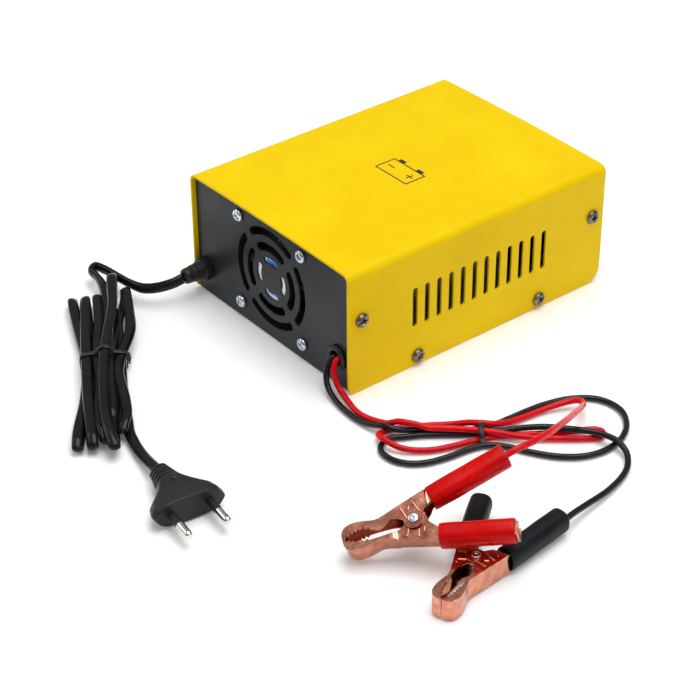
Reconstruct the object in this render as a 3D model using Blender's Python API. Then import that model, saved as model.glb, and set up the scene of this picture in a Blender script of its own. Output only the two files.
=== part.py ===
"""Car battery charger: sheet-metal case with fan, mains lead with plug, and two clamp leads.

Metres, +Z up. The origin is at the centre of the underside of the case. The fan panel, where both
cords leave, faces -Y. The control panel faces +Y.
"""
import math

import bmesh
import bpy
import numpy as np
from mathutils import Matrix, Vector

MM = 0.001
GAP = 0.3 * MM

# Case
CASE_WIDTH = 126 * MM
CASE_LENGTH = 166 * MM
CASE_HEIGHT = 67 * MM
COVER_SHEET = 1.2 * MM
COVER_BEND = 4 * MM
COVER_CROWN = 0.8 * MM
COVER_FRONT_CORNER = 4.5 * MM
COVER_REAR_CORNER = 8.5 * MM
PANEL_RECESS = 2.3 * MM
CHASSIS_SHEET = 1.0 * MM

# Side slots
SLOT_COUNT = 12
SLOT_PITCH = 7.6 * MM
SLOT_WIDTH = 3.0 * MM
SLOT_LOW = 22.7 * MM
SLOT_HIGH = 44.7 * MM

# Screws
M3_RADIUS = 1.4 * MM
M3_HOLE = 1.75 * MM
HEAD_HEIGHT = 1.9 * MM
PANEL_FLANGE_SCREW = (75 * MM, 40.5 * MM)
FLOOR_FLANGE_SCREW = (40 * MM, 5.5 * MM)

# Fan
FAN_SIZE = 60 * MM
FAN_DEPTH = 20 * MM
FAN_CENTRE_Z = 34.5 * MM
FAN_SCREW_OFFSET = 25 * MM
FAN_BORE = 28.6 * MM
FAN_BLADES = 7
MOTOR_BASE_RADIUS = 14.5 * MM
GRILLE_RINGS = ((8.2 * MM, 11.4 * MM), (14.8 * MM, 19.2 * MM), (23.0 * MM, 27.2 * MM))
GRILLE_SPOKE = 5.6 * MM

# Cord entries on the fan panel
GLAND_X = -55 * MM
GLAND_Z = 14.5 * MM
LEAD_HOLE_X = 52.5 * MM
LEAD_HOLE_Z = 16.5 * MM
LEAD_HOLE_RADIUS = 5.3 * MM

# Control panel
DISPLAY_CENTRE = (-27 * MM, 42 * MM)
DISPLAY_SIZE = (46 * MM, 21 * MM)
ROCKER_CENTRE = (39 * MM, 36 * MM)
ROCKER_SIZE = (13 * MM, 19.2 * MM)
ROCKER_TILT = 9
BUTTON_CENTRE = (10 * MM, 42 * MM)
BUTTON_RADIUS = 5 * MM
LED_PLACES = ((-39 * MM, 18 * MM), (-27 * MM, 18 * MM))
LED_RADIUS = 2.4 * MM

# Clamps
CLAMP_WIDTH = 10.5 * MM
CLAMP_SHEET = 0.9 * MM
RIVET_RADIUS = 1.3 * MM
RIVET_HEAD = 2.1 * MM
OUTER_CHEEK = 4.4
INNER_CHEEK = 5.6
SLEEVE_HALF = (5.4 * MM, 5.8 * MM)

# Cords
LEAD_DIAMETER = 3.0 * MM
MAINS_RADIUS = 2.4 * MM

CLEAR = "_cutter"


# ---------------------------------------------------------------- scene and materials

def clear_scene():
    for item in list(bpy.data.objects):
        bpy.data.objects.remove(item, do_unlink=True)


def finish(name, colour, roughness, metallic=0.0):
    """A Principled material, made once for each name."""
    material = bpy.data.materials.get(name)
    if material is None:
        material = bpy.data.materials.new(name)
        material.use_nodes = True
        shader = material.node_tree.nodes["Principled BSDF"]
        shader.inputs["Base Color"].default_value = (*colour, 1.0)
        shader.inputs["Roughness"].default_value = roughness
        shader.inputs["Metallic"].default_value = metallic
        material.diffuse_color = (*colour, 1.0)
    return material


YELLOW = finish("yellow_powder_coat", (0.93, 0.60, 0.01), 0.35)
BLACK_STEEL = finish("black_panel", (0.035, 0.038, 0.042), 0.45)
DARK_SCREW = finish("dark_nickel_screw", (0.16, 0.14, 0.13), 0.3, 1.0)
ZINC = finish("zinc_screw", (0.72, 0.76, 0.82), 0.28, 1.0)
BLACK_PLASTIC = finish("black_plastic", (0.02, 0.02, 0.022), 0.4)
GREY_PLASTIC = finish("grey_plastic", (0.10, 0.10, 0.11), 0.5)
LABEL = finish("fan_label", (0.75, 0.80, 0.90), 0.5)
BOARD_GREEN = finish("board_green", (0.03, 0.16, 0.05), 0.5)
FERRITE = finish("ferrite", (0.06, 0.055, 0.06), 0.7)
TAPE = finish("winding_tape", (0.75, 0.60, 0.12), 0.5)
CAN = finish("capacitor_sleeve", (0.03, 0.05, 0.18), 0.35)
ALUMINIUM = finish("aluminium", (0.70, 0.71, 0.72), 0.4, 1.0)
LENS = finish("smoked_lens", (0.08, 0.01, 0.01), 0.1)
LED_RED = finish("led_red", (0.75, 0.03, 0.02), 0.2)
LED_GREEN = finish("led_green", (0.05, 0.6, 0.08), 0.2)
RUBBER = finish("black_rubber", (0.015, 0.015, 0.016), 0.55)
CORD_BLACK = finish("black_cord", (0.012, 0.012, 0.013), 0.3)
LEAD_RED = finish("red_lead", (0.72, 0.005, 0.03), 0.25)
SLEEVE_RED = finish("red_sleeve", (0.78, 0.01, 0.01), 0.35)
SLEEVE_BLACK = finish("black_sleeve", (0.02, 0.022, 0.024), 0.5)
COPPER = finish("copper_plate", (0.80, 0.45, 0.33), 0.3, 1.0)
SPRING_STEEL = finish("spring_steel", (0.45, 0.44, 0.43), 0.35, 1.0)
PIN_METAL = finish("nickel_pin", (0.75, 0.72, 0.68), 0.2, 1.0)


# ---------------------------------------------------------------- outlines (lists of 2-D points)

def arc(centre_a, centre_b, radius, start, end, steps):
    """Points on an arc, angles in degrees, both ends included."""
    angles = [math.radians(start + (end - start) * i / steps) for i in range(steps + 1)]
    return [(centre_a + radius * math.cos(t), centre_b + radius * math.sin(t)) for t in angles]


def circle(centre_a, centre_b, radius, steps):
    return arc(centre_a, centre_b, radius, 0, 360 * (steps - 1) / steps, steps - 1)


def rounded_box(low_a, low_b, high_a, high_b, radii, steps=3):
    """A rectangle whose corners, from the low corner anticlockwise, have the given radii."""
    r0, r1, r2, r3 = radii
    return (arc(low_a + r0, low_b + r0, r0, 180, 270, steps)
            + arc(high_a - r1, low_b + r1, r1, 270, 360, steps)
            + arc(high_a - r2, high_b - r2, r2, 0, 90, steps)
            + arc(low_a + r3, high_b - r3, r3, 90, 180, steps))


def slot_outline(centre_a, low_b, high_b, width, steps=4):
    """A slot standing along the second axis, with round ends."""
    half = width / 2
    return (arc(centre_a, high_b - half, half, 0, 180, steps)
            + arc(centre_a, low_b + half, half, 180, 360, steps))


def arc_slot(centre_a, centre_b, inner, outer, quarter, steps):
    """A curved slot that fills one quarter between two spokes on the diagonals, with round ends."""
    middle = (inner + outer) / 2
    half = (outer - inner) / 2
    trim = math.degrees((GRILLE_SPOKE / 2 + half * 0.7) / middle)
    start = quarter * 90 - 45 + trim
    end = quarter * 90 + 45 - trim
    end_a, end_b = arc(centre_a, centre_b, middle, end, end, 1)[0]
    start_a, start_b = arc(centre_a, centre_b, middle, start, start, 1)[0]
    return (arc(centre_a, centre_b, outer, start, end, steps)
            + arc(end_a, end_b, half, end, end + 180, 4)[1:-1]
            + arc(centre_a, centre_b, inner, end, start, steps)
            + arc(start_a, start_b, half, start + 180, start + 360, 4)[1:-1])


# ---------------------------------------------------------------- meshes

def place(normal, a, b, height):
    """A 2-D point on the plane square to normal: (y, z) for X, (x, z) for Y, (x, y) for Z."""
    return {"X": (height, a, b), "Y": (a, height, b), "Z": (a, b, height)}[normal]


def add_object(name, bm, material, parent=None, origin=(0, 0, 0), smooth_angle=35):
    """Closes the bmesh into an object whose origin is at origin, in the parent's frame."""
    bmesh.ops.recalc_face_normals(bm, faces=bm.faces)
    if any(origin):
        bmesh.ops.translate(bm, verts=bm.verts, vec=-Vector(origin))
    mesh = bpy.data.meshes.new(name)
    bm.to_mesh(mesh)
    bm.free()
    mesh.materials.append(material)
    mesh.shade_smooth()
    mesh.set_sharp_from_angle(angle=math.radians(smooth_angle))
    item = bpy.data.objects.new(name, mesh)
    item.location = origin
    item.parent = parent
    bpy.context.scene.collection.objects.link(item)
    return item


def add_prism(bm, outline, low, high, normal):
    bottom = [bm.verts.new(place(normal, a, b, low)) for a, b in outline]
    top = [bm.verts.new(place(normal, a, b, high)) for a, b in outline]
    bm.faces.new(bottom)
    bm.faces.new(top)
    for i in range(len(outline)):
        j = (i + 1) % len(outline)
        bm.faces.new((bottom[i], bottom[j], top[j], top[i]))


def prism(name, outlines, low, high, normal, material, **options):
    """Outlines extruded along X, Y or Z between two heights."""
    bm = bmesh.new()
    for outline in outlines:
        add_prism(bm, outline, low, high, normal)
    return add_object(name, bm, material, **options)


def add_turned(bm, profile, centre, axis, segments):
    """A turned body: profile is (radius, height) along axis from centre; radius 0 is a pole."""
    turn = Vector((0, 0, 1)).rotation_difference(Vector(axis)).to_matrix()
    rings = []
    for radius, height in profile:
        count = 1 if radius == 0 else segments
        ring = []
        for i in range(count):
            t = 2 * math.pi * (i + 0.5) / segments
            point = Vector((radius * math.cos(t), radius * math.sin(t), height))
            ring.append(bm.verts.new(Vector(centre) + turn @ point))
        rings.append(ring)
    for lower, upper in zip(rings, rings[1:]):
        for i in range(segments):
            j = (i + 1) % segments
            corners = [lower[i % len(lower)], lower[j % len(lower)],
                       upper[j % len(upper)], upper[i % len(upper)]]
            bm.faces.new(list(dict.fromkeys(corners)))
    for ring in (rings[0], rings[-1]):
        if len(ring) > 1:
            bm.faces.new(ring)


def turned(name, profile, centre, axis, material, segments=16, **options):
    bm = bmesh.new()
    add_turned(bm, profile, centre, axis, segments)
    return add_object(name, bm, material, **options)


def lofted(name, rings, material, **options):
    """Skins rings of points that all have the same count, with both ends capped."""
    bm = bmesh.new()
    loops = [[bm.verts.new(point) for point in ring] for ring in rings]
    for lower, upper in zip(loops, loops[1:]):
        for i in range(len(lower)):
            j = (i + 1) % len(lower)
            bm.faces.new((lower[i], lower[j], upper[j], upper[i]))
    bm.faces.new(loops[0])
    bm.faces.new(loops[-1])
    return add_object(name, bm, material, **options)


def combine(item, other, operation):
    """Adds an exact Boolean with another object, which the build then leaves out."""
    other.hide_render = True
    other.display_type = "WIRE"
    modifier = item.modifiers.new(operation.lower(), "BOOLEAN")
    modifier.operation = operation
    modifier.object = other
    return item


# ---------------------------------------------------------------- routes of cords

def smooth_curve(points, per_span=16):
    """A centripetal Catmull-Rom curve through the points, with many samples on each span."""
    given = np.array(points, dtype=float)
    given = np.vstack([2 * given[0] - given[1], given, 2 * given[-1] - given[-2]])
    samples = []
    for i in range(1, len(given) - 2):
        p0, p1, p2, p3 = given[i - 1:i + 3]
        t1 = np.linalg.norm(p1 - p0) ** 0.5
        t2 = t1 + np.linalg.norm(p2 - p1) ** 0.5
        t3 = t2 + np.linalg.norm(p3 - p2) ** 0.5
        for t in np.linspace(t1, t2, per_span, endpoint=False):
            a1 = (t1 - t) / t1 * p0 + t / t1 * p1
            a2 = (t2 - t) / (t2 - t1) * p1 + (t - t1) / (t2 - t1) * p2
            a3 = (t3 - t) / (t3 - t2) * p2 + (t - t2) / (t3 - t2) * p3
            b1 = (t2 - t) / t2 * a1 + t / t2 * a2
            b2 = (t3 - t) / (t3 - t1) * a2 + (t - t1) / (t3 - t1) * a3
            samples.append((t2 - t) / (t2 - t1) * b1 + (t - t1) / (t2 - t1) * b2)
    samples.append(given[-2])
    return np.array(samples)


def thinned(samples, count, bend_weight=12 * MM):
    """Picks count points from a dense curve, closer together where it bends."""
    steps = np.diff(samples, axis=0)
    lengths = np.linalg.norm(steps, axis=1)
    directions = steps / lengths[:, None]
    cosines = np.clip((directions[1:] * directions[:-1]).sum(axis=1), -1, 1)
    turning = np.concatenate([[0.0], np.arccos(cosines)])
    measure = np.concatenate([[0.0], np.cumsum(lengths + bend_weight * turning)])
    wanted = np.linspace(0, measure[-1], count)
    return np.stack([np.interp(wanted, measure, samples[:, k]) for k in range(3)], axis=1)


def tube(name, points, radius, material, resolution=2):
    """A cord: a filled tube along straight steps between the points."""
    curve = bpy.data.curves.new(name, "CURVE")
    curve.dimensions = "3D"
    curve.bevel_depth = radius
    curve.bevel_resolution = resolution
    curve.use_fill_caps = True
    spline = curve.splines.new("POLY")
    spline.points.add(len(points) - 1)
    for target, point in zip(spline.points, points):
        target.co = (*point, 1.0)
    curve.materials.append(material)
    item = bpy.data.objects.new(name, curve)
    bpy.context.scene.collection.objects.link(item)
    return item


# ---------------------------------------------------------------- case

SIDE_X = CASE_WIDTH / 2
END_Y = CASE_LENGTH / 2
PANEL_Y = END_Y - PANEL_RECESS
INNER_X = SIDE_X - COVER_SHEET - GAP
PANEL_TOP = CASE_HEIGHT - COVER_SHEET - GAP
SLOT_CENTRES = [(i - (SLOT_COUNT - 1) / 2) * SLOT_PITCH for i in range(SLOT_COUNT)]
COVER_SCREW_PLACES = [(side, sign * y, z) for side in (1, -1) for sign in (-1, 1)
                      for y, z in (PANEL_FLANGE_SCREW, FLOOR_FLANGE_SCREW)]


def cover_profile():
    """The U of the cover in X and Z, with the bends and the slight crown of its top."""
    def crown(x):
        flat_half = SIDE_X - COVER_BEND
        return COVER_CROWN * (1 - (x / flat_half) ** 2)

    top_x = [(SIDE_X - COVER_BEND) * k / 4 for k in (3, 2, 1, 0, -1, -2, -3)]
    bend = CASE_HEIGHT - COVER_BEND
    inner_bend = COVER_BEND - COVER_SHEET
    corner_x = SIDE_X - COVER_BEND
    outer = ([(SIDE_X, 0)] + arc(corner_x, bend, COVER_BEND, 0, 90, 5)
             + [(x, CASE_HEIGHT + crown(x)) for x in top_x]
             + arc(-corner_x, bend, COVER_BEND, 90, 180, 5) + [(-SIDE_X, 0)])
    inner = ([(-SIDE_X + COVER_SHEET, 0)] + arc(-corner_x, bend, inner_bend, 180, 90, 4)
             + [(x, CASE_HEIGHT - COVER_SHEET + crown(x)) for x in reversed(top_x)]
             + arc(corner_x, bend, inner_bend, 90, 0, 4) + [(SIDE_X - COVER_SHEET, 0)])
    return outer + inner


def build_cover():
    cover = prism("top_cover", [cover_profile()], -END_Y, END_Y, "Y", YELLOW)
    top = CASE_HEIGHT + 2 * COVER_BEND
    side_outline = rounded_box(-END_Y - MM, 0, END_Y + MM, top,
                               (COVER_FRONT_CORNER + MM, COVER_REAR_CORNER + MM, MM, MM), 4)
    trimmer = prism("cover_side" + CLEAR, [side_outline], -CASE_WIDTH, CASE_WIDTH, "X", YELLOW)
    combine(cover, trimmer, "INTERSECT")
    holes = [slot_outline(y, SLOT_LOW, SLOT_HIGH, SLOT_WIDTH) for y in SLOT_CENTRES]
    holes += [circle(sign * y, z, M3_HOLE, 10) for sign in (-1, 1)
              for y, z in (PANEL_FLANGE_SCREW, FLOOR_FLANGE_SCREW)]
    combine(cover, prism("cover_holes" + CLEAR, holes, -CASE_WIDTH, CASE_WIDTH, "X", YELLOW),
            "DIFFERENCE")


def build_chassis():
    """One folded sheet: floor, both end panels, and flanges that take the cover's screws."""
    outline = rounded_box(-INNER_X, 0, INNER_X, PANEL_TOP, (0.8 * MM, 0.8 * MM, 2.5 * MM, 2.5 * MM), 2)
    chassis = prism("base_chassis", [outline], -PANEL_Y, PANEL_Y, "Y", BLACK_STEEL)
    sheet = CHASSIS_SHEET
    hollow = rounded_box(-INNER_X + sheet, sheet, INNER_X - sheet, CASE_HEIGHT * 2,
                         (0.01 * MM, 0.01 * MM, MM, MM), 1)
    combine(chassis, prism("chassis_hollow" + CLEAR, [hollow], -PANEL_Y + sheet, PANEL_Y - sheet,
                           "Y", BLACK_STEEL), "DIFFERENCE")
    wall = PANEL_Y - sheet
    flange = 68 * MM
    window = [(-wall, 2 * CASE_HEIGHT), (-wall, 60 * MM), (-flange, 60 * MM), (-flange, 1.2 * MM),
              (-57 * MM, 1.2 * MM), (-57 * MM, 11 * MM), (57 * MM, 11 * MM), (57 * MM, 1.2 * MM),
              (flange, 1.2 * MM), (flange, 60 * MM), (wall, 60 * MM), (wall, 2 * CASE_HEIGHT)]
    combine(chassis, prism("chassis_window" + CLEAR, [window], -CASE_WIDTH, CASE_WIDTH, "X",
                           BLACK_STEEL), "DIFFERENCE")
    screw_holes = [circle(sign * y, z, M3_HOLE, 10) for sign in (-1, 1)
                   for y, z in (PANEL_FLANGE_SCREW, FLOOR_FLANGE_SCREW)]
    combine(chassis, prism("chassis_screw_holes" + CLEAR, screw_holes, -CASE_WIDTH, CASE_WIDTH,
                           "X", BLACK_STEEL), "DIFFERENCE")
    combine(chassis, prism("fan_panel_holes" + CLEAR, fan_panel_holes(), -PANEL_Y - 5 * MM,
                           -PANEL_Y + 3 * MM, "Y", BLACK_STEEL), "DIFFERENCE")
    combine(chassis, prism("control_panel_holes" + CLEAR, control_panel_holes(),
                           PANEL_Y - 3 * MM, PANEL_Y + 5 * MM, "Y", BLACK_STEEL), "DIFFERENCE")


def fan_screw_places():
    return [(sx * FAN_SCREW_OFFSET, FAN_CENTRE_Z + sz * FAN_SCREW_OFFSET)
            for sx in (-1, 1) for sz in (-1, 1)]


def fan_panel_holes():
    outlines = []
    for (inner, outer), steps in zip(GRILLE_RINGS, (3, 5, 7)):
        for quarter in range(4):
            outlines.append(arc_slot(0, FAN_CENTRE_Z, inner, outer, quarter, steps))
    outlines += [circle(x, z, 2.1 * MM, 10) for x, z in fan_screw_places()]
    outlines.append(circle(GLAND_X, GLAND_Z, 4.6 * MM, 14))
    outlines.append(circle(LEAD_HOLE_X, LEAD_HOLE_Z, LEAD_HOLE_RADIUS, 14))
    return outlines


def control_panel_holes():
    outlines = [centred_box(DISPLAY_CENTRE, DISPLAY_SIZE), centred_box(ROCKER_CENTRE, ROCKER_SIZE),
                circle(*BUTTON_CENTRE, BUTTON_RADIUS + GAP, 16)]
    outlines += [circle(x, z, LED_RADIUS + GAP, 12) for x, z in LED_PLACES]
    return outlines


def centred_box(centre, size, grow=0.0):
    a, b = centre
    half_a = size[0] / 2 + grow
    half_b = size[1] / 2 + grow
    return [(a - half_a, b - half_b), (a + half_a, b - half_b),
            (a + half_a, b + half_b), (a - half_a, b + half_b)]


def pan_screw(name, centre, axis, material, head_radius, shank, parent=None):
    """A pan-head screw; centre is where the underside of its head sits, axis points out."""
    profile = [(M3_RADIUS, -shank), (M3_RADIUS, 0), (head_radius, 0),
               (head_radius, 0.45 * HEAD_HEIGHT), (0.72 * head_radius, 0.9 * HEAD_HEIGHT),
               (0.3 * head_radius, HEAD_HEIGHT)]
    turned(name, profile, centre, axis, material, segments=12, parent=parent)


def build_screws():
    for number, (side, y, z) in enumerate(COVER_SCREW_PLACES, 1):
        centre = (side * (SIDE_X + GAP), y, z)
        pan_screw(f"cover_screw_{number}", centre, (side, 0, 0), DARK_SCREW, 3.7 * MM, 6 * MM)
    for number, (x, z) in enumerate(fan_screw_places(), 1):
        centre = (x, -PANEL_Y - GAP, z)
        pan_screw(f"fan_screw_{number}", centre, (0, -1, 0), ZINC, 3.3 * MM, 10 * MM)


# ---------------------------------------------------------------- fan

FAN_FRONT_Y = -PANEL_Y + CHASSIS_SHEET + GAP


def build_fan():
    """Square fan hung behind the grille, its motor base and label towards the panel."""
    half = FAN_SIZE / 2
    back = FAN_FRONT_Y + FAN_DEPTH
    outline = rounded_box(-half, FAN_CENTRE_Z - half, half, FAN_CENTRE_Z + half,
                          (4 * MM, 4 * MM, 4 * MM, 4 * MM), 3)
    frame = prism("fan_frame", [outline], FAN_FRONT_Y, back, "Y", BLACK_PLASTIC)
    bore = circle(0, FAN_CENTRE_Z, FAN_BORE, 32)
    combine(frame, prism("fan_bore" + CLEAR, [bore], FAN_FRONT_Y + 4 * MM, back + MM, "Y",
                         BLACK_PLASTIC), "DIFFERENCE")
    windows = []
    for quarter in range(4):
        start = quarter * 90 - 45 + 7
        end = start + 76
        windows.append(arc(0, FAN_CENTRE_Z, FAN_BORE - 0.4 * MM, start, end, 7)
                       + arc(0, FAN_CENTRE_Z, MOTOR_BASE_RADIUS, end, start, 5))
    combine(frame, prism("fan_windows" + CLEAR, windows, FAN_FRONT_Y - MM, FAN_FRONT_Y + 5 * MM,
                         "Y", BLACK_PLASTIC), "DIFFERENCE")
    corners = [circle(x, z, 2.1 * MM, 10) for x, z in fan_screw_places()]
    combine(frame, prism("fan_corners" + CLEAR, corners, FAN_FRONT_Y - MM, back + MM, "Y",
                         BLACK_PLASTIC), "DIFFERENCE")
    label_recess = circle(0, FAN_CENTRE_Z, 12.6 * MM, 20)
    combine(frame, prism("label_recess" + CLEAR, [label_recess], FAN_FRONT_Y - MM,
                         FAN_FRONT_Y + 0.6 * MM, "Y", BLACK_PLASTIC), "DIFFERENCE")
    bearing = circle(0, FAN_CENTRE_Z, 1.8 * MM, 10)
    combine(frame, prism("fan_bearing" + CLEAR, [bearing], FAN_FRONT_Y + 1.5 * MM,
                         FAN_FRONT_Y + 5 * MM, "Y", BLACK_PLASTIC), "DIFFERENCE")
    turned("fan_label", [(12.2 * MM, 0), (12.2 * MM, 0.2 * MM)],
           (0, FAN_FRONT_Y + 0.1 * MM, FAN_CENTRE_Z), (0, 1, 0), LABEL, 20)
    build_rotor()
    stator_start = FAN_FRONT_Y + 4.3 * MM
    ring = [(2.2 * MM, 0), (10.5 * MM, 0), (10.5 * MM, 7 * MM), (2.2 * MM, 7 * MM), (2.2 * MM, 0)]
    ring_body("fan_stator", ring[:-1], (0, stator_start, FAN_CENTRE_Z), (0, 1, 0), GREY_PLASTIC, 16)


def ring_body(name, profile, centre, axis, material, segments, **options):
    """A turned ring: its closed profile doesn't touch the axis."""
    turn = Vector((0, 0, 1)).rotation_difference(Vector(axis)).to_matrix()
    bm = bmesh.new()
    loops = []
    for i in range(segments):
        t = 2 * math.pi * i / segments
        loops.append([bm.verts.new(Vector(centre) + turn @ Vector((r * math.cos(t), r * math.sin(t), h)))
                      for r, h in profile])
    for i in range(segments):
        this, following = loops[i], loops[(i + 1) % segments]
        for k in range(len(profile)):
            m = (k + 1) % len(profile)
            bm.faces.new((this[k], this[m], following[m], following[k]))
    return add_object(name, bm, material, **options)


def build_rotor():
    """Hub cup with its shaft, and blades set at an angle to it."""
    start = FAN_FRONT_Y + 5 * MM
    centre = (0, start, FAN_CENTRE_Z)
    cup = [(0, -3 * MM), (1.45 * MM, -3 * MM), (1.45 * MM, 10 * MM), (11.2 * MM, 10 * MM),
           (11.2 * MM, 0.3 * MM), (12.6 * MM, 0.3 * MM), (12.6 * MM, 11.5 * MM), (0, 12.2 * MM)]
    rotor = turned("fan_rotor", cup, centre, (0, 1, 0), GREY_PLASTIC, 21, origin=centre)
    bm = bmesh.new()
    for number in range(FAN_BLADES):
        angle = 2 * math.pi * number / FAN_BLADES
        add_blade(bm, angle, start)
    blades = add_object("rotor_blades" + CLEAR, bm, GREY_PLASTIC, origin=centre)
    combine(rotor, blades, "UNION")


def add_blade(bm, angle, start):
    rings = []
    for step in range(4):
        radius = (12.0 + 15.6 * step / 3) * MM
        sweep = angle + 0.10 * step
        ring = []
        for edge, depth in ((-1, 1.0 * MM), (1, 11.0 * MM)):
            for side in (-1, 1):
                turn = sweep + edge * (0.30 - 0.025 * step) + side * edge * 0.5 * MM / radius
                ring.append((radius * math.sin(turn), start + depth,
                             FAN_CENTRE_Z + radius * math.cos(turn)))
        rings.append([bm.verts.new(point) for point in ring])
    for lower, upper in zip(rings, rings[1:]):
        for i in range(4):
            j = (i + 1) % 4
            bm.faces.new((lower[i], lower[j], upper[j], upper[i]))
    bm.faces.new(rings[0])
    bm.faces.new(rings[-1])


# ---------------------------------------------------------------- electronics

BOARD_TOP = 8.6 * MM


def box(name, low, high, material, **options):
    outline = [(low[0], low[1]), (high[0], low[1]), (high[0], high[1]), (low[0], high[1])]
    return prism(name, [outline], low[2], high[2], "Z", material, **options)


def build_electronics():
    standoffs = [(x, y) for x in (-48 * MM, 48 * MM) for y in (-48 * MM, 62 * MM)]
    for number, (x, y) in enumerate(standoffs, 1):
        turned(f"standoff_{number}", [(3 * MM, 0), (3 * MM, 5.4 * MM)],
               (x, y, CHASSIS_SHEET + GAP), (0, 0, 1), ALUMINIUM, 6)
    box("circuit_board", (-54 * MM, -54 * MM, BOARD_TOP - 1.6 * MM), (54 * MM, 68 * MM, BOARD_TOP),
        BOARD_GREEN)
    base = BOARD_TOP + GAP
    build_transformer(base)
    turned("filter_capacitor", [(11 * MM, 0), (11 * MM, 30 * MM), (10 * MM, 31 * MM)],
           (-36 * MM, 48 * MM, base), (0, 0, 1), CAN, 16)
    build_heatsink(base)
    box("relay", (18 * MM, 44 * MM, base), (37 * MM, 59 * MM, base + 15 * MM), BLACK_PLASTIC)


def build_transformer(base):
    """Ferrite core with two windows, and the winding round its middle leg."""
    centre_x, centre_y = -20 * MM, 4 * MM
    height = 34 * MM
    core = box("transformer_core", (centre_x - 9 * MM, centre_y - 21 * MM, base),
               (centre_x + 9 * MM, centre_y + 21 * MM, base + height), FERRITE)
    windows = [[(centre_y + side * 6 * MM, base + 6 * MM), (centre_y + side * 15 * MM, base + 6 * MM),
                (centre_y + side * 15 * MM, base + 28 * MM), (centre_y + side * 6 * MM, base + 28 * MM)]
               for side in (-1, 1)]
    combine(core, prism("core_windows" + CLEAR, windows, centre_x - 20 * MM, centre_x + 20 * MM,
                        "X", FERRITE), "DIFFERENCE")
    winding = prism("transformer_winding",
                    [rounded_box(centre_x - 16 * MM, centre_y - 14.6 * MM, centre_x + 16 * MM,
                                 centre_y + 14.6 * MM, (4 * MM,) * 4, 3)],
                    base + 6.4 * MM, base + 27.6 * MM, "Z", TAPE)
    leg = [(centre_x - 9.4 * MM, centre_y - 6.4 * MM), (centre_x + 9.4 * MM, centre_y - 6.4 * MM),
           (centre_x + 9.4 * MM, centre_y + 6.4 * MM), (centre_x - 9.4 * MM, centre_y + 6.4 * MM)]
    combine(winding, prism("winding_bore" + CLEAR, [leg], base, base + height, "Z", TAPE),
            "DIFFERENCE")


def build_heatsink(base):
    """Finned extrusion with its fins across the case, and the transistor screwed to it."""
    left, right, foot = 20 * MM, 46 * MM, 4 * MM
    outline = [(left, base), (right, base)] + heatsink_comb(left, right, base, foot)
    prism("heatsink", [outline], -40 * MM, 30 * MM, "Y", ALUMINIUM)
    box("power_transistor", (left - 5 * MM - GAP, -15 * MM, base + 8 * MM),
        (left - GAP, 1 * MM, base + 28 * MM), BLACK_PLASTIC)


def heatsink_comb(left, right, base, foot):
    """The comb from the right foot to the left edge, fin by fin."""
    top = base + 32 * MM
    pitch, fin = 4.2 * MM, 1.4 * MM
    points = []
    x = right
    while x - pitch > left + 3 * MM:
        points += [(x, top), (x - fin, top), (x - fin, base + foot), (x - pitch, base + foot)]
        x -= pitch
    return points + [(x, top), (left, top)]


# ---------------------------------------------------------------- control panel pieces

def build_control_panel():
    face = PANEL_Y + GAP
    display_hole = (DISPLAY_SIZE[0], DISPLAY_SIZE[1])
    lens = prism("display_window", [centred_box(DISPLAY_CENTRE, display_hole, 1.5 * MM)],
                 face, face + 1.2 * MM, "Y", LENS)
    body = prism("display_step" + CLEAR, [centred_box(DISPLAY_CENTRE, display_hole, -GAP)],
                 PANEL_Y - CHASSIS_SHEET, face + 0.6 * MM, "Y", LENS)
    combine(lens, body, "UNION")
    prism("display_module", [centred_box(DISPLAY_CENTRE, display_hole, 1 * MM)],
          PANEL_Y - 9 * MM, PANEL_Y - CHASSIS_SHEET - 0.5 * MM, "Y", BLACK_PLASTIC)
    build_rocker(face)
    button_root = PANEL_Y - 4 * MM
    turned("mode_button", [(BUTTON_RADIUS + 0.9 * MM, 0), (BUTTON_RADIUS + 0.9 * MM, 1 * MM),
                           (BUTTON_RADIUS - 0.1 * MM, 1 * MM), (BUTTON_RADIUS - 0.1 * MM, 5.6 * MM),
                           (BUTTON_RADIUS - 0.6 * MM, 6.1 * MM)],
           (BUTTON_CENTRE[0], button_root, BUTTON_CENTRE[1]), (0, 1, 0), GREY_PLASTIC, 18,
           origin=(BUTTON_CENTRE[0], button_root, BUTTON_CENTRE[1]))
    for number, (x, z) in enumerate(LED_PLACES, 1):
        turned(f"status_led_{number}", [(LED_RADIUS + 0.5 * MM, 0), (LED_RADIUS + 0.5 * MM, 1 * MM),
                                        (LED_RADIUS, 1 * MM), (LED_RADIUS, 4.2 * MM),
                                        (0.7 * LED_RADIUS, 5.2 * MM), (0, 5.7 * MM)],
               (x, PANEL_Y - 4 * MM, z), (0, 1, 0), (LED_RED, LED_GREEN)[number - 1], 12)


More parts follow.
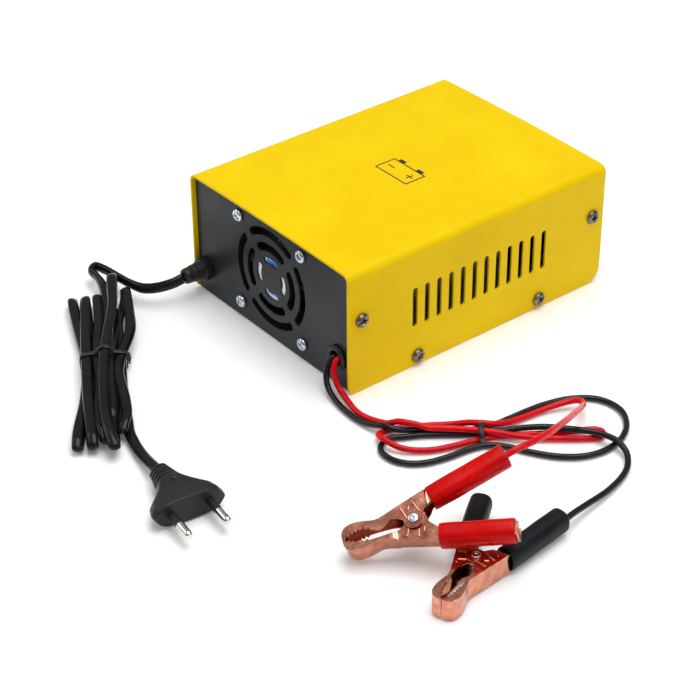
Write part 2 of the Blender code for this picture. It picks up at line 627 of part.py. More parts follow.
def build_rocker(face):
    """Power switch: a bezel with its body through the panel, and a rocker on a pivot inside it."""
    bezel = prism("switch_housing", [centred_box(ROCKER_CENTRE, ROCKER_SIZE, 1.6 * MM)],
                  face, face + 0.8 * MM, "Y", BLACK_PLASTIC)
    body = prism("switch_body" + CLEAR, [centred_box(ROCKER_CENTRE, ROCKER_SIZE, -GAP)],
                 PANEL_Y - 14 * MM, face + 0.4 * MM, "Y", BLACK_PLASTIC)
    combine(bezel, body, "UNION")
    well_size = (ROCKER_SIZE[0] - 2.4 * MM, ROCKER_SIZE[1] - 2.4 * MM)
    combine(bezel, prism("switch_well" + CLEAR, [centred_box(ROCKER_CENTRE, well_size)],
                         PANEL_Y - 8 * MM, face + 3 * MM, "Y", BLACK_PLASTIC), "DIFFERENCE")
    x, z = ROCKER_CENTRE
    pivot_y = PANEL_Y - 3.4 * MM
    half = well_size[1] / 2 - 0.5 * MM
    outline = ([(pivot_y, z - 2.5 * MM), (pivot_y + 0.8 * MM, z - half),
                (pivot_y + 4.6 * MM, z - half + 0.6 * MM), (pivot_y + 3.5 * MM, z),
                (pivot_y + 4.6 * MM, z + half - 0.6 * MM), (pivot_y + 0.8 * MM, z + half),
                (pivot_y, z + 2.5 * MM)])
    tilt = Matrix.Rotation(math.radians(-ROCKER_TILT), 2)
    turned_outline = [tilt @ Vector((y - pivot_y, up - z)) for y, up in outline]
    outline = [(pivot_y + point.x, z + point.y) for point in turned_outline]
    half_width = well_size[0] / 2 - 0.4 * MM
    prism("power_rocker", [outline], x - half_width, x + half_width, "X", BLACK_PLASTIC,
          origin=(x, pivot_y, z))


# ---------------------------------------------------------------- mains cord

GLAND_POINTS = [(-55, -96.2, 13.9), (-56.5, -101.5, 12.4), (-60.5, -108, 10.6), (-66.3, -112.8, 8.9),
                (-70.2, -115.2, 8.2)]
TAIL_POINTS = [(24.2, -182, 2.7), (30.5, -184.2, 2.7), (38.5, -186.4, 3), (47, -188.3, 4.2),
               (54.5, -189.8, 5.8), (60.5, -190.7, 6.8)]
HANK_CENTRE = (-26 * MM, -163 * MM)
HANK_HEADING = -31.4
HANK_HEIGHT = 14 * MM
HANK_OUTLINE = [(-64, -17.5), (-45, -15), (-25, -12.2), (-8, -10.4), (2, -10.4), (25, -12), (45, -14),
                (62, -18), (67, -14), (67.5, -5), (64, 1.5), (58, 4.6), (53, 5.2), (51.4, 7.4), (51, 12.8),
                (38, 12.6), (22, 11.4), (2, 10.4), (-8, 10.8), (-25, 16.6), (-42, 17.6), (-56, 16.4),
                (-68, 14.6), (-79, 9.5), (-88, 4.5), (-90, -0.5), (-87, -4.5), (-79, -4.5), (-69, -5),
                (-66, -10)]


def build_strain_relief():
    """Moulded bush: flange inside and outside the panel, and a ribbed tail that narrows."""
    outer = -PANEL_Y - GAP
    centre = (GLAND_X, outer, GLAND_Z)
    profile = [(4.2 * MM, -5 * MM), (4.2 * MM, 0), (6.2 * MM, 0), (6.2 * MM, 4 * MM),
               (4.9 * MM, 4.2 * MM), (4.7 * MM, 6.5 * MM), (4.2 * MM, 6.5 * MM), (4.2 * MM, 7.3 * MM),
               (4.6 * MM, 7.3 * MM), (4.4 * MM, 9.5 * MM), (3.9 * MM, 9.5 * MM), (3.9 * MM, 10.3 * MM),
               (4.2 * MM, 10.3 * MM), (4.0 * MM, 14 * MM)]
    turned("strain_relief", profile, centre, (0, -1, 0), RUBBER, 14)


def hank_frame():
    return (Matrix.Translation((*HANK_CENTRE, 0))
            @ Matrix.Rotation(math.radians(HANK_HEADING), 4, "Z"))


def build_mains_cord():
    route = smooth_curve(np.array(GLAND_POINTS) * MM)
    tube("mains_cord_lead", thinned(route, 16), MAINS_RADIUS, CORD_BLACK)
    outline = smooth_curve(np.array([(a, b, 0) for a, b in HANK_OUTLINE + HANK_OUTLINE[:1]]) * MM, 2)
    hank = prism("mains_cord_hank", [[(p[0], p[1]) for p in outline[:-1]]], 0.4 * MM, HANK_HEIGHT,
                 "Z", CORD_BLACK)
    hank.matrix_world = hank_frame()
    tail = smooth_curve(np.array(TAIL_POINTS) * MM)
    tube("mains_cord_tail", thinned(tail, 12), MAINS_RADIUS, CORD_BLACK)
    tie_outline = rounded_box(-11.6 * MM, 0.1 * MM, 11.7 * MM, HANK_HEIGHT + 1.0 * MM,
                              (0.6 * MM, 0.6 * MM, 1.4 * MM, 1.4 * MM), 3)
    hole = rounded_box(-10.9 * MM, -5 * MM, 11.0 * MM, HANK_HEIGHT + GAP,
                       (0.2 * MM, 0.2 * MM, 0.5 * MM, 0.5 * MM), 3)
    tie = prism("hank_tie", [tie_outline], -4.5 * MM, -1.5 * MM, "X", RUBBER)
    tie.matrix_world = hank_frame()
    cutter = prism("hank_tie_bore" + CLEAR, [hole], -20 * MM, 20 * MM, "X", RUBBER)
    cutter.matrix_world = hank_frame()
    combine(tie, cutter, "DIFFERENCE")


PLUG_NECK = (61.2 * MM, -191.0 * MM, 6.95 * MM)
PLUG_HEADING = -7.5
PLUG_FRONT = 31.5 * MM
PIN_LENGTH = 17 * MM
PIN_SPACING = 19 * MM


def plug_ring(along, half_width, half_height, flat):
    """Eight-sided section of the plug; flat is how much of its width its top face takes."""
    low = 0.12 * half_height
    side = [(half_width, low), (half_width * flat, half_height),
            (-half_width * flat, half_height), (-half_width, low)]
    ring = side + [(-a, -b) for a, b in side]
    return [(along, a, b) for a, b in ring]


def build_plug():
    stations = [(0, 3.6, 3.4, 0.5), (1.0, 5.0, 4.6, 0.55), (9, 6.6, 5.6, 0.55), (12.5, 7.4, 6.2, 0.6),
                (17, 10.5, 6.6, 0.65), (23.5, 16.2, 6.8, 0.72), (28, 17.7, 6.8, 0.74),
                (31.5, 17.2, 6.6, 0.74)]
    rings = [plug_ring(a * MM, w * MM, h * MM, flat) for a, w, h, flat in stations]
    plug = lofted("plug_body", rings, BLACK_PLASTIC)
    frame = (Matrix.Translation(PLUG_NECK) @ Matrix.Rotation(math.radians(PLUG_HEADING), 4, "Z"))
    plug.matrix_world = frame
    for number, side in enumerate((-1, 1), 1):
        bm = bmesh.new()
        profile = [(2.0 * MM, 0), (2.0 * MM, PIN_LENGTH - 1.2 * MM), (1.2 * MM, PIN_LENGTH)]
        centre = (PLUG_FRONT + GAP, side * PIN_SPACING / 2, 0)
        add_turned(bm, profile, centre, (1, 0, 0), 12)
        pin = add_object(f"plug_pin_{number}", bm, PIN_METAL)
        pin.matrix_world = frame


# ---------------------------------------------------------------- clamp leads

# Each lead goes out beside the other, back and out again through the tie, then to its clamp.
# Where one wire lies over another, its point is a wire's thickness higher.
RED_ROUTE = [
    (54.1, -74, 16.6), (54.1, -82.7, 16.6), (54.6, -85, 13.6), (55.9, -85.9, 9.3),
    (58.9, -85.9, 4.9), (62.8, -86.1, 2.7), (68.9, -87.3, 1.6), (75.9, -88.8, 1.5),
    (83, -88.8, 1.9), (90.7, -87.5, 3.2), (95.9, -86.1, 4.5), (100.3, -83.1, 6.6),
    (106.7, -78.1, 6.3), (111.2, -74, 4.9), (114.4, -70.5, 5), (120.4, -64, 4.9),
    (126, -58.2, 4.8), (130.2, -54.5, 4.8), (135.6, -49.7, 4.3), (140.9, -43.9, 3),
    (146.3, -37, 2), (154.3, -27, 1.5), (160.4, -19.2, 1.5), (163, -15, 1.5), (162.7, -11.8, 1.5),
    (160.3, -10.4, 1.5), (157.4, -11.7, 1.5), (154.4, -16.2, 1.5), (150.3, -23.9, 1.5),
    (143.2, -34.6, 1.5), (138.3, -41.9, 1.5), (134.9, -47.3, 1.5), (131.8, -53, 1.5),
    (129.5, -58.9, 1.5), (127.5, -65, 1.6), (125, -73.4, 1.7), (121.4, -81.5, 1.6),
    (116.3, -88.5, 2), (111.6, -92.7, 2.9), (104.7, -95.5, 4.6), (100.4, -95, 4),
    (98.4, -93.3, 3.1), (97.4, -90.8, 2.1), (97.5, -86.3, 1.5), (99.3, -81.2, 1.5),
    (102.8, -74.9, 1.5), (107.4, -68.3, 1.7), (113.7, -61.2, 2.6), (118.9, -56.4, 4.2),
    (123.7, -52.3, 4.8), (127.1, -47.1, 3.8), (128.8, -40.3, 2.5), (129.5, -33.2, 1.9),
    (130.9, -22.9, 2), (132.9, -15.2, 2.8), (137.5, -6.5, 4.5), (140.3, -5, 5.2),
    (141.5, -5.1, 5.5), (144.5, -7.5, 6.4), (148.8, -12.8, 10.1), (154.1, -20.2, 14.9),
    (162.3, -33.2, 22), (171.6, -49.4, 30.1), (178.3, -63.9, 35.8), (181.3, -75.8, 38.5),
    (181.1, -85.2, 38.8), (179.7, -89.6, 37.1)]
BLACK_ROUTE = [
    (50.8, -74, 16.5), (50.8, -82.7, 16.4), (51.4, -86.4, 12.4), (53.1, -88.6, 7.8),
    (56.7, -90, 4.1), (63.2, -91.3, 2), (71.9, -92.5, 1.5), (79.8, -92.8, 1.6),
    (86.9, -92.1, 2.2), (92.2, -90.9, 3.6), (97.3, -89.1, 5), (102, -86.4, 4.6),
    (104, -83.3, 3.9), (105.2, -79.5, 2.9), (107.3, -75.4, 2.3), (111, -70.1, 1.9),
    (116.9, -62.5, 1.5), (120.7, -57.4, 1.5), (123.3, -51.6, 1.5), (125.1, -44.6, 1.5),
    (125.9, -36.6, 1.5), (126.6, -27, 1.5), (128.2, -16, 1.5), (131.9, -4.6, 1.5),
    (137.3, 3.3, 1.5), (142.4, 7, 1.5), (149.9, 8.7, 1.5), (156.8, 7.3, 1.5), (164.4, 1.7, 1.5),
    (168.5, -4.1, 1.5), (171, -10.8, 1.5), (171.7, -21.1, 1.5), (168.5, -30.9, 1.5),
    (161.6, -39.5, 1.5), (151.9, -46.6, 1.5), (142.2, -52.2, 1.5), (136.7, -56.7, 1.5),
    (133.7, -61.3, 1.5), (131.8, -68.2, 1.5), (130.3, -78.5, 1.5), (127.2, -89.2, 1.5),
    (122.7, -95.7, 1.5), (116.1, -99.7, 1.5), (109.3, -100.1, 1.5), (105.3, -98.1, 1.5),
    (102.7, -93.7, 1.5), (102.7, -90, 1.5), (105.7, -84.7, 1.5), (110.1, -77.1, 1.5),
    (115.3, -70, 1.5), (121.3, -62.4, 1.5), (126.7, -54.5, 1.5), (131.2, -47, 2),
    (135.8, -40.5, 3.1), (144.1, -32, 4.8), (152.4, -24.4, 4.9), (160.5, -17.9, 4.9),
    (167.6, -14.4, 4.9), (173, -13.3, 4.6), (177.6, -13.8, 3.9), (181.8, -15.5, 3),
    (186.9, -20.3, 2.1), (190.7, -27.2, 1.8), (194.8, -41, 2.5), (197.7, -56.7, 4.5),
    (199.7, -66.8, 6), (201.3, -73.8, 6.7)]
TIE_CENTRE = (128.2 * MM, -56.4 * MM)
TIE_HEADING = 48


def lead_route(route):
    return smooth_curve(np.array(route, dtype=float) * MM, 10)


def build_leads():
    tube("red_lead", thinned(lead_route(RED_ROUTE), 80), LEAD_DIAMETER / 2, LEAD_RED)
    tube("black_lead", thinned(lead_route(BLACK_ROUTE), 80), LEAD_DIAMETER / 2, CORD_BLACK)
    outer = -PANEL_Y - GAP
    grommet = [(3.9 * MM, -3 * MM), (5.0 * MM, -3 * MM), (5.0 * MM, 0), (6.4 * MM, 0),
               (6.4 * MM, 1.2 * MM), (5.2 * MM, 1.9 * MM), (3.9 * MM, 1.9 * MM)]
    ring_body("lead_grommet", grommet, (LEAD_HOLE_X, outer, LEAD_HOLE_Z), (0, -1, 0), RUBBER, 14)


def build_lead_tie():
    """Thin wrap round the six passes of the leads: four on the floor and two above."""
    frame = (Matrix.Translation((*TIE_CENTRE, 0))
             @ Matrix.Rotation(math.radians(TIE_HEADING), 4, "Z"))
    outer = [(-9.7, 0.05), (9.3, 0.05), (9.5, 3.3), (8.0, 6.6), (6.6, 7.1), (-0.8, 7.1), (-2.4, 6.6),
             (-9.2, 3.9), (-9.8, 2.6)]
    inner = [(-9.2, -3), (8.8, -3), (9.0, 3.1), (7.6, 6.2), (6.4, 6.6), (-0.6, 6.6), (-2.1, 6.1),
             (-8.8, 3.4), (-9.3, 2.5)]
    tie = prism("lead_tie", [[(a * MM, b * MM) for a, b in outer]], -1.1 * MM, 1.1 * MM, "X", RUBBER)
    bore = prism("lead_tie_bore" + CLEAR, [[(a * MM, b * MM) for a, b in inner]], -10 * MM, 10 * MM,
                 "X", RUBBER)
    tie.matrix_world = frame
    bore.matrix_world = frame
    combine(tie, bore, "DIFFERENCE")


# ---------------------------------------------------------------- clamps

# The clamp's own frame: X along it to the tip, Y to the side of the half that holds the lead,
# Z along the rivet, origin at the rivet. Outlines in millimetres.
CLAMP_BACK = [(31.6, 0.15), (31.6, 2.2), (30.6, 4.6), (28, 6.1), (24, 6.4), (20, 5.7), (16.5, 4.9),
              (13.5, 5.3), (8.4, 7.0), (0, 9.6), (-8, 12.2)]
HANDLE_OFFSET = 3.4
HANDLE_DEPTH = 6.0
LEAD_HANDLE_END = (-44.5, 18.4)
RED_FREE_HANDLE_END = (-41.5, 17.6)
BLACK_FREE_HANDLE_END = (-37.5, 16.6)
HANDLE_START = (-8.8, 9.2)
MOUTH = [(4.3, 0.5), (4.9, 1.3), (6.5, 2.4), (9.5, 3.2), (13.5, 3.5), (17.5, 3.6), (20.6, 3.5)]
TEETH = [(21.4, 2.6), (22.4, 3.6), (23.35, 2.45), (24.3, 3.4), (25.25, 2.1), (26.2, 2.9), (27.15, 1.55),
         (28.1, 2.2), (29.0, 0.9), (29.9, 1.3), (31.0, 0.15)]


def clamp_side_outline(handle_end, inner_half):
    """Side view of one half: its back, the handle, the cheek round the rivet and the teeth."""
    back = smooth_curve([(a, b, 0) for a, b in CLAMP_BACK], 2)[:, :2].tolist()
    run = Vector((handle_end[0] - HANDLE_START[0], handle_end[1] - HANDLE_START[1])).normalized()
    across = Vector((-run.y, run.x)) * -1
    end_out = Vector(handle_end) + across * HANDLE_OFFSET
    end_in = end_out - across * HANDLE_DEPTH
    start_in = Vector(HANDLE_START) + across * (HANDLE_OFFSET - HANDLE_DEPTH) - run * 0.4
    if inner_half:
        cheek = arc(0, 0, INNER_CHEEK, 160, 285, 7) + arc(0, 0, OUTER_CHEEK, 305, 350, 3)
    else:
        cheek = arc(0, 0, OUTER_CHEEK, 160, 350, 9)
    points = back + [tuple(end_out), tuple(end_in), tuple(start_in)] + cheek + MOUTH + TEETH
    return [(a * MM, b * MM) for a, b in points]


def clamp_pocket_outline(handle_end):
    """The hollow between the cheeks: the back moved in by the sheet, open towards the mouth."""
    back = smooth_curve([(a, b, 0) for a, b in CLAMP_BACK], 2)[:, :2]
    steps = np.gradient(back, axis=0)
    steps /= np.linalg.norm(steps, axis=1)[:, None]
    sheet = CLAMP_SHEET / MM
    inner = back + np.column_stack([-steps[:, 1], steps[:, 0]]) * sheet
    run = Vector((handle_end[0] - HANDLE_START[0], handle_end[1] - HANDLE_START[1])).normalized()
    across = Vector((-run.y, run.x)) * -1
    end_out = Vector(handle_end) + across * (HANDLE_OFFSET - sheet) + run * 4
    points = inner.tolist() + [tuple(end_out), (end_out.x, -30), (31.6 - sheet, -30)]
    return [(a * MM, b * MM) for a, b in points]


def clamp_plan_outline(inner_half, inset):
    """View from the back: full width at the jaw, drawn in past the rivet, narrow in the handle."""
    full = CLAMP_WIDTH / 2 - inset
    tucked = CLAMP_WIDTH / 2 - CLAMP_SHEET - GAP - inset
    if inner_half:
        side = [(40 * MM, full), (10.0 * MM, full), (8.2 * MM, tucked), (-60 * MM, tucked)]
    else:
        side = [(40 * MM, full), (-7 * MM, full), (-8.2 * MM, tucked), (-60 * MM, tucked)]
    return side + [(a, -b) for a, b in reversed(side)]


def clamp_half(name, parent, flip, handle_end, inner_half):
    """One half, a folded channel. flip is -1 for the half that carries no lead."""
    def sided(points):
        return [(a, flip * b) for a, b in points]

    depth = CLAMP_WIDTH
    half = prism(name, [sided(clamp_side_outline(handle_end, inner_half))], -depth, depth, "Z", COPPER,
                 parent=parent)
    plan = prism(name + "_plan" + CLEAR, [clamp_plan_outline(inner_half, 0)], -0.06, 0.06, "Y",
                 COPPER, parent=parent)
    combine(half, plan, "INTERSECT")
    pocket = prism(name + "_pocket" + CLEAR, [sided(clamp_pocket_outline(handle_end))], -depth,
                   depth, "Z", COPPER, parent=parent)
    pocket_plan = prism(name + "_pocket_plan" + CLEAR,
                        [clamp_plan_outline(inner_half, CLAMP_SHEET)], -0.06, 0.06, "Y", COPPER,
                        parent=parent)
    combine(pocket, pocket_plan, "INTERSECT")
    combine(half, pocket, "DIFFERENCE")
    bore = prism(name + "_bore" + CLEAR, [circle(0, 0, RIVET_RADIUS + GAP, 12)], -depth, depth,
                 "Z", COPPER, parent=parent)
    combine(half, bore, "DIFFERENCE")
    return half


def clamp_sleeve(name, parent, flip, handle_end, length_past, material):
    """Plastic sleeve over a handle: an oval tube with a rectangular bore for the channel."""
    start = Vector((HANDLE_START[0], flip * HANDLE_START[1], 0)) * MM
    end = Vector((handle_end[0], flip * handle_end[1], 0)) * MM
    run = (end - start).normalized()
    across = Vector((-run.y, run.x, 0))
    frame = Matrix.Identity(4)
    frame.col[0] = (*run, 0)
    frame.col[1] = (*across, 0)
    frame.col[3] = (*start, 1)
    length = (end - start).length + length_past
    half_a, half_b = SLEEVE_HALF
    rings = []
    for share, grow in ((0, 0.97), (0.12, 1), (0.9, 1), (1, 0.97)):
        ring = []
        for i in range(16):
            t = 2 * math.pi * (i + 0.5) / 16
            c, s = math.cos(t), math.sin(t)
            round_a = math.copysign(abs(c) ** 0.75, c)
            round_b = math.copysign(abs(s) ** 0.75, s)
            ring.append((share * length, half_a * grow * round_a, half_b * grow * round_b))
        rings.append(ring)
    sleeve = lofted(name, rings, material)
    sleeve.parent = parent
    sleeve.matrix_local = frame
    bore_a = (HANDLE_DEPTH / 2 + 0.5) * MM
    bore_b = CLAMP_WIDTH / 2 - CLAMP_SHEET
    offset = -flip * (HANDLE_OFFSET - HANDLE_DEPTH / 2) * MM
    bore = prism(name + "_bore" + CLEAR,
                 [[(offset - bore_a, -bore_b), (offset + bore_a, -bore_b),
                   (offset + bore_a, bore_b), (offset - bore_a, bore_b)]],
                 -5 * MM, length + 5 * MM, "X", material)
    bore.parent = parent
    bore.matrix_local = frame
    combine(sleeve, bore, "DIFFERENCE")


def clamp_rivet(name, parent):
    half = CLAMP_WIDTH / 2 + GAP
    profile = [(1.3 * MM, -half - 0.5 * MM), (RIVET_HEAD, -half - 0.3 * MM), (RIVET_HEAD, -half),
               (RIVET_RADIUS, -half), (RIVET_RADIUS, half), (RIVET_HEAD, half),
               (RIVET_HEAD, half + 0.3 * MM), (1.3 * MM, half + 0.5 * MM)]
    turned(name, profile, (0, 0, 0), (0, 0, 1), ZINC, 12, parent=parent)


def clamp_spring(name, parent):
    """Torsion spring round the rivet with a leg along each handle."""
    coil = 3.3
    start_angle = 112
    sweep = 2 * 360 + 2 * start_angle
    steps = 26
    points = [(-21, 11.5, -2.0), (-12, 8.2, -2.0)]
    for i in range(steps + 1):
        t = math.radians(start_angle - sweep * i / steps)
        points.append((coil * math.cos(t), coil * math.sin(t), -2.0 + 4.0 * i / steps))
    points += [(-12, -8.2, 2.0), (-21, -11.5, 2.0)]
    item = tube(name, [Vector(p) * MM for p in points], 0.5 * MM, SPRING_STEEL, 1)
    item.parent = parent


def clamp_pose(location, heading, pitch, roll):
    turn = (Matrix.Rotation(math.radians(heading), 4, "Z")
            @ Matrix.Rotation(math.radians(pitch), 4, "Y")
            @ Matrix.Rotation(math.radians(roll), 4, "X"))
    return Matrix.Translation(Vector(location) * MM) @ turn


def build_clamp(colour, pose, sleeve_material, free_handle_end, free_past, inner_side):
    """inner_side names the half whose cheeks lie inside the other's at the rivet."""
    mount = bpy.data.objects.new(f"{colour}_clamp", None)
    mount.matrix_world = pose
    bpy.context.scene.collection.objects.link(mount)
    clamp_half(f"{colour}_lead_jaw", mount, 1, LEAD_HANDLE_END, inner_side == "lead")
    clamp_half(f"{colour}_free_jaw", mount, -1, free_handle_end, inner_side == "free")
    clamp_rivet(f"{colour}_clamp_rivet", mount)
    clamp_spring(f"{colour}_clamp_spring", mount)
    clamp_sleeve(f"{colour}_lead_sleeve", mount, 1, LEAD_HANDLE_END, 0.5 * MM, sleeve_material)
    clamp_sleeve(f"{colour}_free_sleeve", mount, -1, free_handle_end, free_past, sleeve_material)


def build_clamps():
    red = clamp_pose((172.0, -133.9, 17.1), -122.4, 16.7, 180 - 22.6)
    black = clamp_pose((198.9, -123.2, 6.15), -68.7, 0.64, 0)
    build_clamp("red", red, SLEEVE_RED, RED_FREE_HANDLE_END, -1.5 * MM, "free")
    build_clamp("black", black, SLEEVE_BLACK, BLACK_FREE_HANDLE_END, 1 * MM, "free")


def build():
    clear_scene()
    build_cover()
    build_chassis()
    build_screws()
    build_fan()
    build_electronics()
    build_control_panel()
    build_strain_relief()
    build_mains_cord()
    build_plug()
    build_leads()
    build_lead_tie()
    build_clamps()


build()
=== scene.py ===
import math

import bmesh
import bpy
import numpy as np
from mathutils import Matrix, Vector


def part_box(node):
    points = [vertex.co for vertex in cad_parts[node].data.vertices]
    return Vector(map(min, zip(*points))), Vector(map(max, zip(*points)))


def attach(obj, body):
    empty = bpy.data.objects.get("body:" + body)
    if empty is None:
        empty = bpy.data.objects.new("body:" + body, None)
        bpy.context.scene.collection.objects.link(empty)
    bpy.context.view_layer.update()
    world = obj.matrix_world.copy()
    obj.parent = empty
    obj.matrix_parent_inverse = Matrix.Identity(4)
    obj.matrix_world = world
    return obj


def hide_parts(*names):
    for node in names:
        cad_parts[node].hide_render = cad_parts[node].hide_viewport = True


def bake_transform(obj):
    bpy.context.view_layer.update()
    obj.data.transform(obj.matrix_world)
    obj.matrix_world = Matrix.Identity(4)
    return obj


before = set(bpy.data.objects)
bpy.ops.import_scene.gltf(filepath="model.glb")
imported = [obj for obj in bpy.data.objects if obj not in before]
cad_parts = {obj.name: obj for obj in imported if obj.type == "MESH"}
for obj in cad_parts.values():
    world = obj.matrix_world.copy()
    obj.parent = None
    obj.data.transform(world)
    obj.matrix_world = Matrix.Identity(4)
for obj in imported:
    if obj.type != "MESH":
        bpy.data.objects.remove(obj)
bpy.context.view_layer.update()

MM = 0.001
BODY = "charger"

# The case, in metres, as the CAD has it
COVER_LOW, COVER_HIGH = (Vector(corner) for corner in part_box("top_cover"))
SIDE_X = COVER_HIGH.x
END_Y = COVER_HIGH.y
CROWN = 0.8 * MM
CASE_TOP = COVER_HIGH.z - CROWN
COVER_SHEET = 1.2 * MM
COVER_BEND = 4 * MM
PANEL_LOW, PANEL_HIGH = (Vector(corner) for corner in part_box("base_chassis"))
PANEL_X = PANEL_HIGH.x
PANEL_Y = PANEL_HIGH.y
PANEL_TOP = PANEL_HIGH.z
FAN_Z = 34.5 * MM
SLOT_CENTRES = [(i - 5.5) * 7.6 * MM for i in range(12)]
GRILLE_RINGS = ((8.2 * MM, 11.4 * MM), (14.8 * MM, 19.2 * MM), (23.0 * MM, 27.2 * MM))
GRILLE_SPOKE = 5.6 * MM
GLAND = (-55 * MM, 14.5 * MM)
LEAD_HOLE = (52.5 * MM, 16.5 * MM)


# ---------------------------------------------------------------- node materials

class Finish:
    """A Principled material being built; every texture runs on the object's own metres."""

    def __init__(self, name, roughness=0.4, metallic=0.0, coat=0.0, gleam=0.5):
        self.material = bpy.data.materials.new(name)
        self.material.use_nodes = True
        self.tree = self.material.node_tree
        self.shader = self.tree.nodes["Principled BSDF"]
        self.set(Roughness=roughness, Metallic=metallic)
        if coat:
            self.set(**{"Coat Weight": coat, "Coat Roughness": 0.12})
        self.set(**{"Specular IOR Level": gleam})
        self.coords = self.tree.nodes.new("ShaderNodeTexCoord").outputs["Object"]

    def set(self, **values):
        for socket, value in values.items():
            self.shader.inputs[socket].default_value = value

    def node(self, kind, inputs=(), **settings):
        made = self.tree.nodes.new(kind)
        for key, value in settings.items():
            setattr(made, key, value)
        for socket, value in dict(inputs).items():
            if isinstance(value, bpy.types.NodeSocket):
                self.tree.links.new(value, made.inputs[socket])
            else:
                made.inputs[socket].default_value = value
        return made

    def stretched(self, scale, turn=(0, 0, 0)):
        return self.node("ShaderNodeMapping", {"Vector": self.coords, "Scale": scale,
                                               "Rotation": turn}).outputs["Vector"]

    def noise(self, scale, detail=3.0, roughness=0.55, vector=None, distortion=0.0):
        return self.node("ShaderNodeTexNoise", {
            "Vector": vector or self.coords, "Scale": scale, "Detail": detail,
            "Roughness": roughness, "Distortion": distortion}).outputs["Fac"]

    def spread(self, value, low, high, to_low, to_high):
        return self.node("ShaderNodeMapRange", {
            "Value": value, "From Min": low, "From Max": high, "To Min": to_low,
            "To Max": to_high}).outputs["Result"]

    def math(self, operation, a, b=0.0):
        return self.node("ShaderNodeMath", {0: a, 1: b}, operation=operation).outputs[0]

    def blend(self, share, first, second):
        mix = self.node("ShaderNodeMix", {"Factor": share}, data_type="RGBA")
        for socket, colour in (("A", first), ("B", second)):
            found = [s for s in mix.inputs if s.name == socket and s.type == "RGBA"][0]
            if isinstance(colour, bpy.types.NodeSocket):
                self.tree.links.new(colour, found)
            else:
                found.default_value = (*colour, 1.0)
        return [s for s in mix.outputs if s.type == "RGBA"][0]

    def colour(self, socket):
        self.tree.links.new(socket, self.shader.inputs["Base Color"])

    def rough(self, socket):
        self.tree.links.new(socket, self.shader.inputs["Roughness"])

    def bump(self, height, strength, distance):
        made = self.node("ShaderNodeBump", {"Height": height, "Strength": strength,
                                            "Distance": distance})
        before = self.shader.inputs["Normal"].links
        if before:
            self.tree.links.new(before[0].from_socket, made.inputs["Normal"])
        self.tree.links.new(made.outputs["Normal"], self.shader.inputs["Normal"])


def mottled(name, dark, light, rough, patch=60, grain=1200, bump=0.15, depth=0.02 * MM, **options):
    """Colour that drifts between two close shades, uneven gloss, and a fine grain."""
    made = Finish(name, **options)
    patches = made.noise(patch, 4.0)
    made.colour(made.blend(made.spread(patches, 0.3, 0.7, 0.0, 1.0), dark, light))
    made.rough(made.spread(made.noise(patch * 2.7, 3.0), 0.3, 0.7, rough[0], rough[1]))
    made.bump(made.noise(grain, 2.0), bump, depth)
    return made


def powder_coat(name, dark, light, rough, peel, gleam, specks=None):
    """Baked powder: a soft orange peel under the gloss, and a few matt rub marks."""
    made = mottled(name, dark, light, rough, patch=25, grain=2600, bump=0.1, depth=0.01 * MM, gleam=gleam)
    made.bump(made.noise(peel, 1.5, 0.4), 0.35, 0.05 * MM)
    if specks:
        cells = made.node("ShaderNodeTexVoronoi", {"Vector": made.coords, "Scale": 900.0})
        rim = made.spread(cells.outputs["Distance"], 0.0, 0.35, 1.0, 0.0)
        made.bump(rim, specks, 0.05 * MM)
    return made.material


def bare_metal(name, dark, light, rough, lay=(1, 1, 1), turn=(0, 0, 0)):
    """Plated or drawn metal: faint marks along one direction, and dulled patches."""
    made = Finish(name, metallic=1.0)
    marks = made.noise(500, 4.0, 0.6, made.stretched(lay, turn))
    dull = made.noise(130, 4.0, 0.6)
    tint = made.spread(made.math("ADD", marks, dull), 0.75, 1.25, 0.0, 1.0)
    made.colour(made.blend(tint, dark, light))
    made.rough(made.spread(made.math("ADD", marks, dull), 0.8, 1.2, rough[0], rough[1]))
    made.bump(marks, 0.12, 0.02 * MM)
    return made.material


def copper_plate():
    """Thin copper over pressed steel: warm, dulled in patches, with fine scuffs both ways."""
    made = Finish("copper_plate_worn", metallic=1.0)
    dull = made.noise(260, 5.0, 0.6)
    scuffs = made.noise(420, 5.0, 0.7, made.stretched((1.0, 0.25, 0.6), (0.4, 0.2, 0.9)))
    stain = made.noise(70, 3.0)
    bright = made.blend(made.spread(dull, 0.3, 0.7, 0.0, 1.0), (0.52, 0.19, 0.12), (0.80, 0.37, 0.25))
    made.colour(made.blend(made.spread(stain, 0.45, 0.8, 0.0, 0.6), bright, (0.30, 0.07, 0.04)))
    made.rough(made.spread(made.math("ADD", dull, scuffs), 0.7, 1.3, 0.10, 0.26))
    made.bump(scuffs, 0.05, 0.02 * MM)
    return made.material


def label_print():
    """Fan label: a white disc with a blue band from top to bottom and paler print across it; it also glows faintly in
    the same colours, as painted light.
    """
    made = Finish("fan_label_self_lit_print", roughness=0.35, coat=0.3)
    place = made.node("ShaderNodeSeparateXYZ", {"Vector": made.coords}).outputs
    off_centre = made.math("ABSOLUTE", place["X"])
    height = made.math("ABSOLUTE", made.math("SUBTRACT", place["Z"], FAN_Z))
    in_band = made.math("LESS_THAN", off_centre, 4.8 * MM)
    inside = made.math("LESS_THAN", height, 10.4 * MM)
    lines = made.math("GREATER_THAN", made.math("SINE", made.math("MULTIPLY", place["Z"], 4200.0)), 0.55)
    paper = made.blend(made.noise(300), (0.90, 0.91, 0.95), (0.96, 0.97, 0.99))
    blue = made.blend(made.math("MULTIPLY", lines, 0.3), (0.01, 0.20, 0.72), (0.6, 0.75, 0.95))
    print_and_glow_colour = made.blend(made.math("MULTIPLY", in_band, inside), paper, blue)
    made.colour(print_and_glow_colour)
    # The print colour also drives a faint glow: painted light that makes the label brighter than the lamps alone would.
    made.tree.links.new(print_and_glow_colour, made.shader.inputs["Emission Color"])
    made.shader.inputs["Emission Strength"].default_value = 0.3
    made.bump(made.noise(700), 0.1, 0.02 * MM)
    return made.material


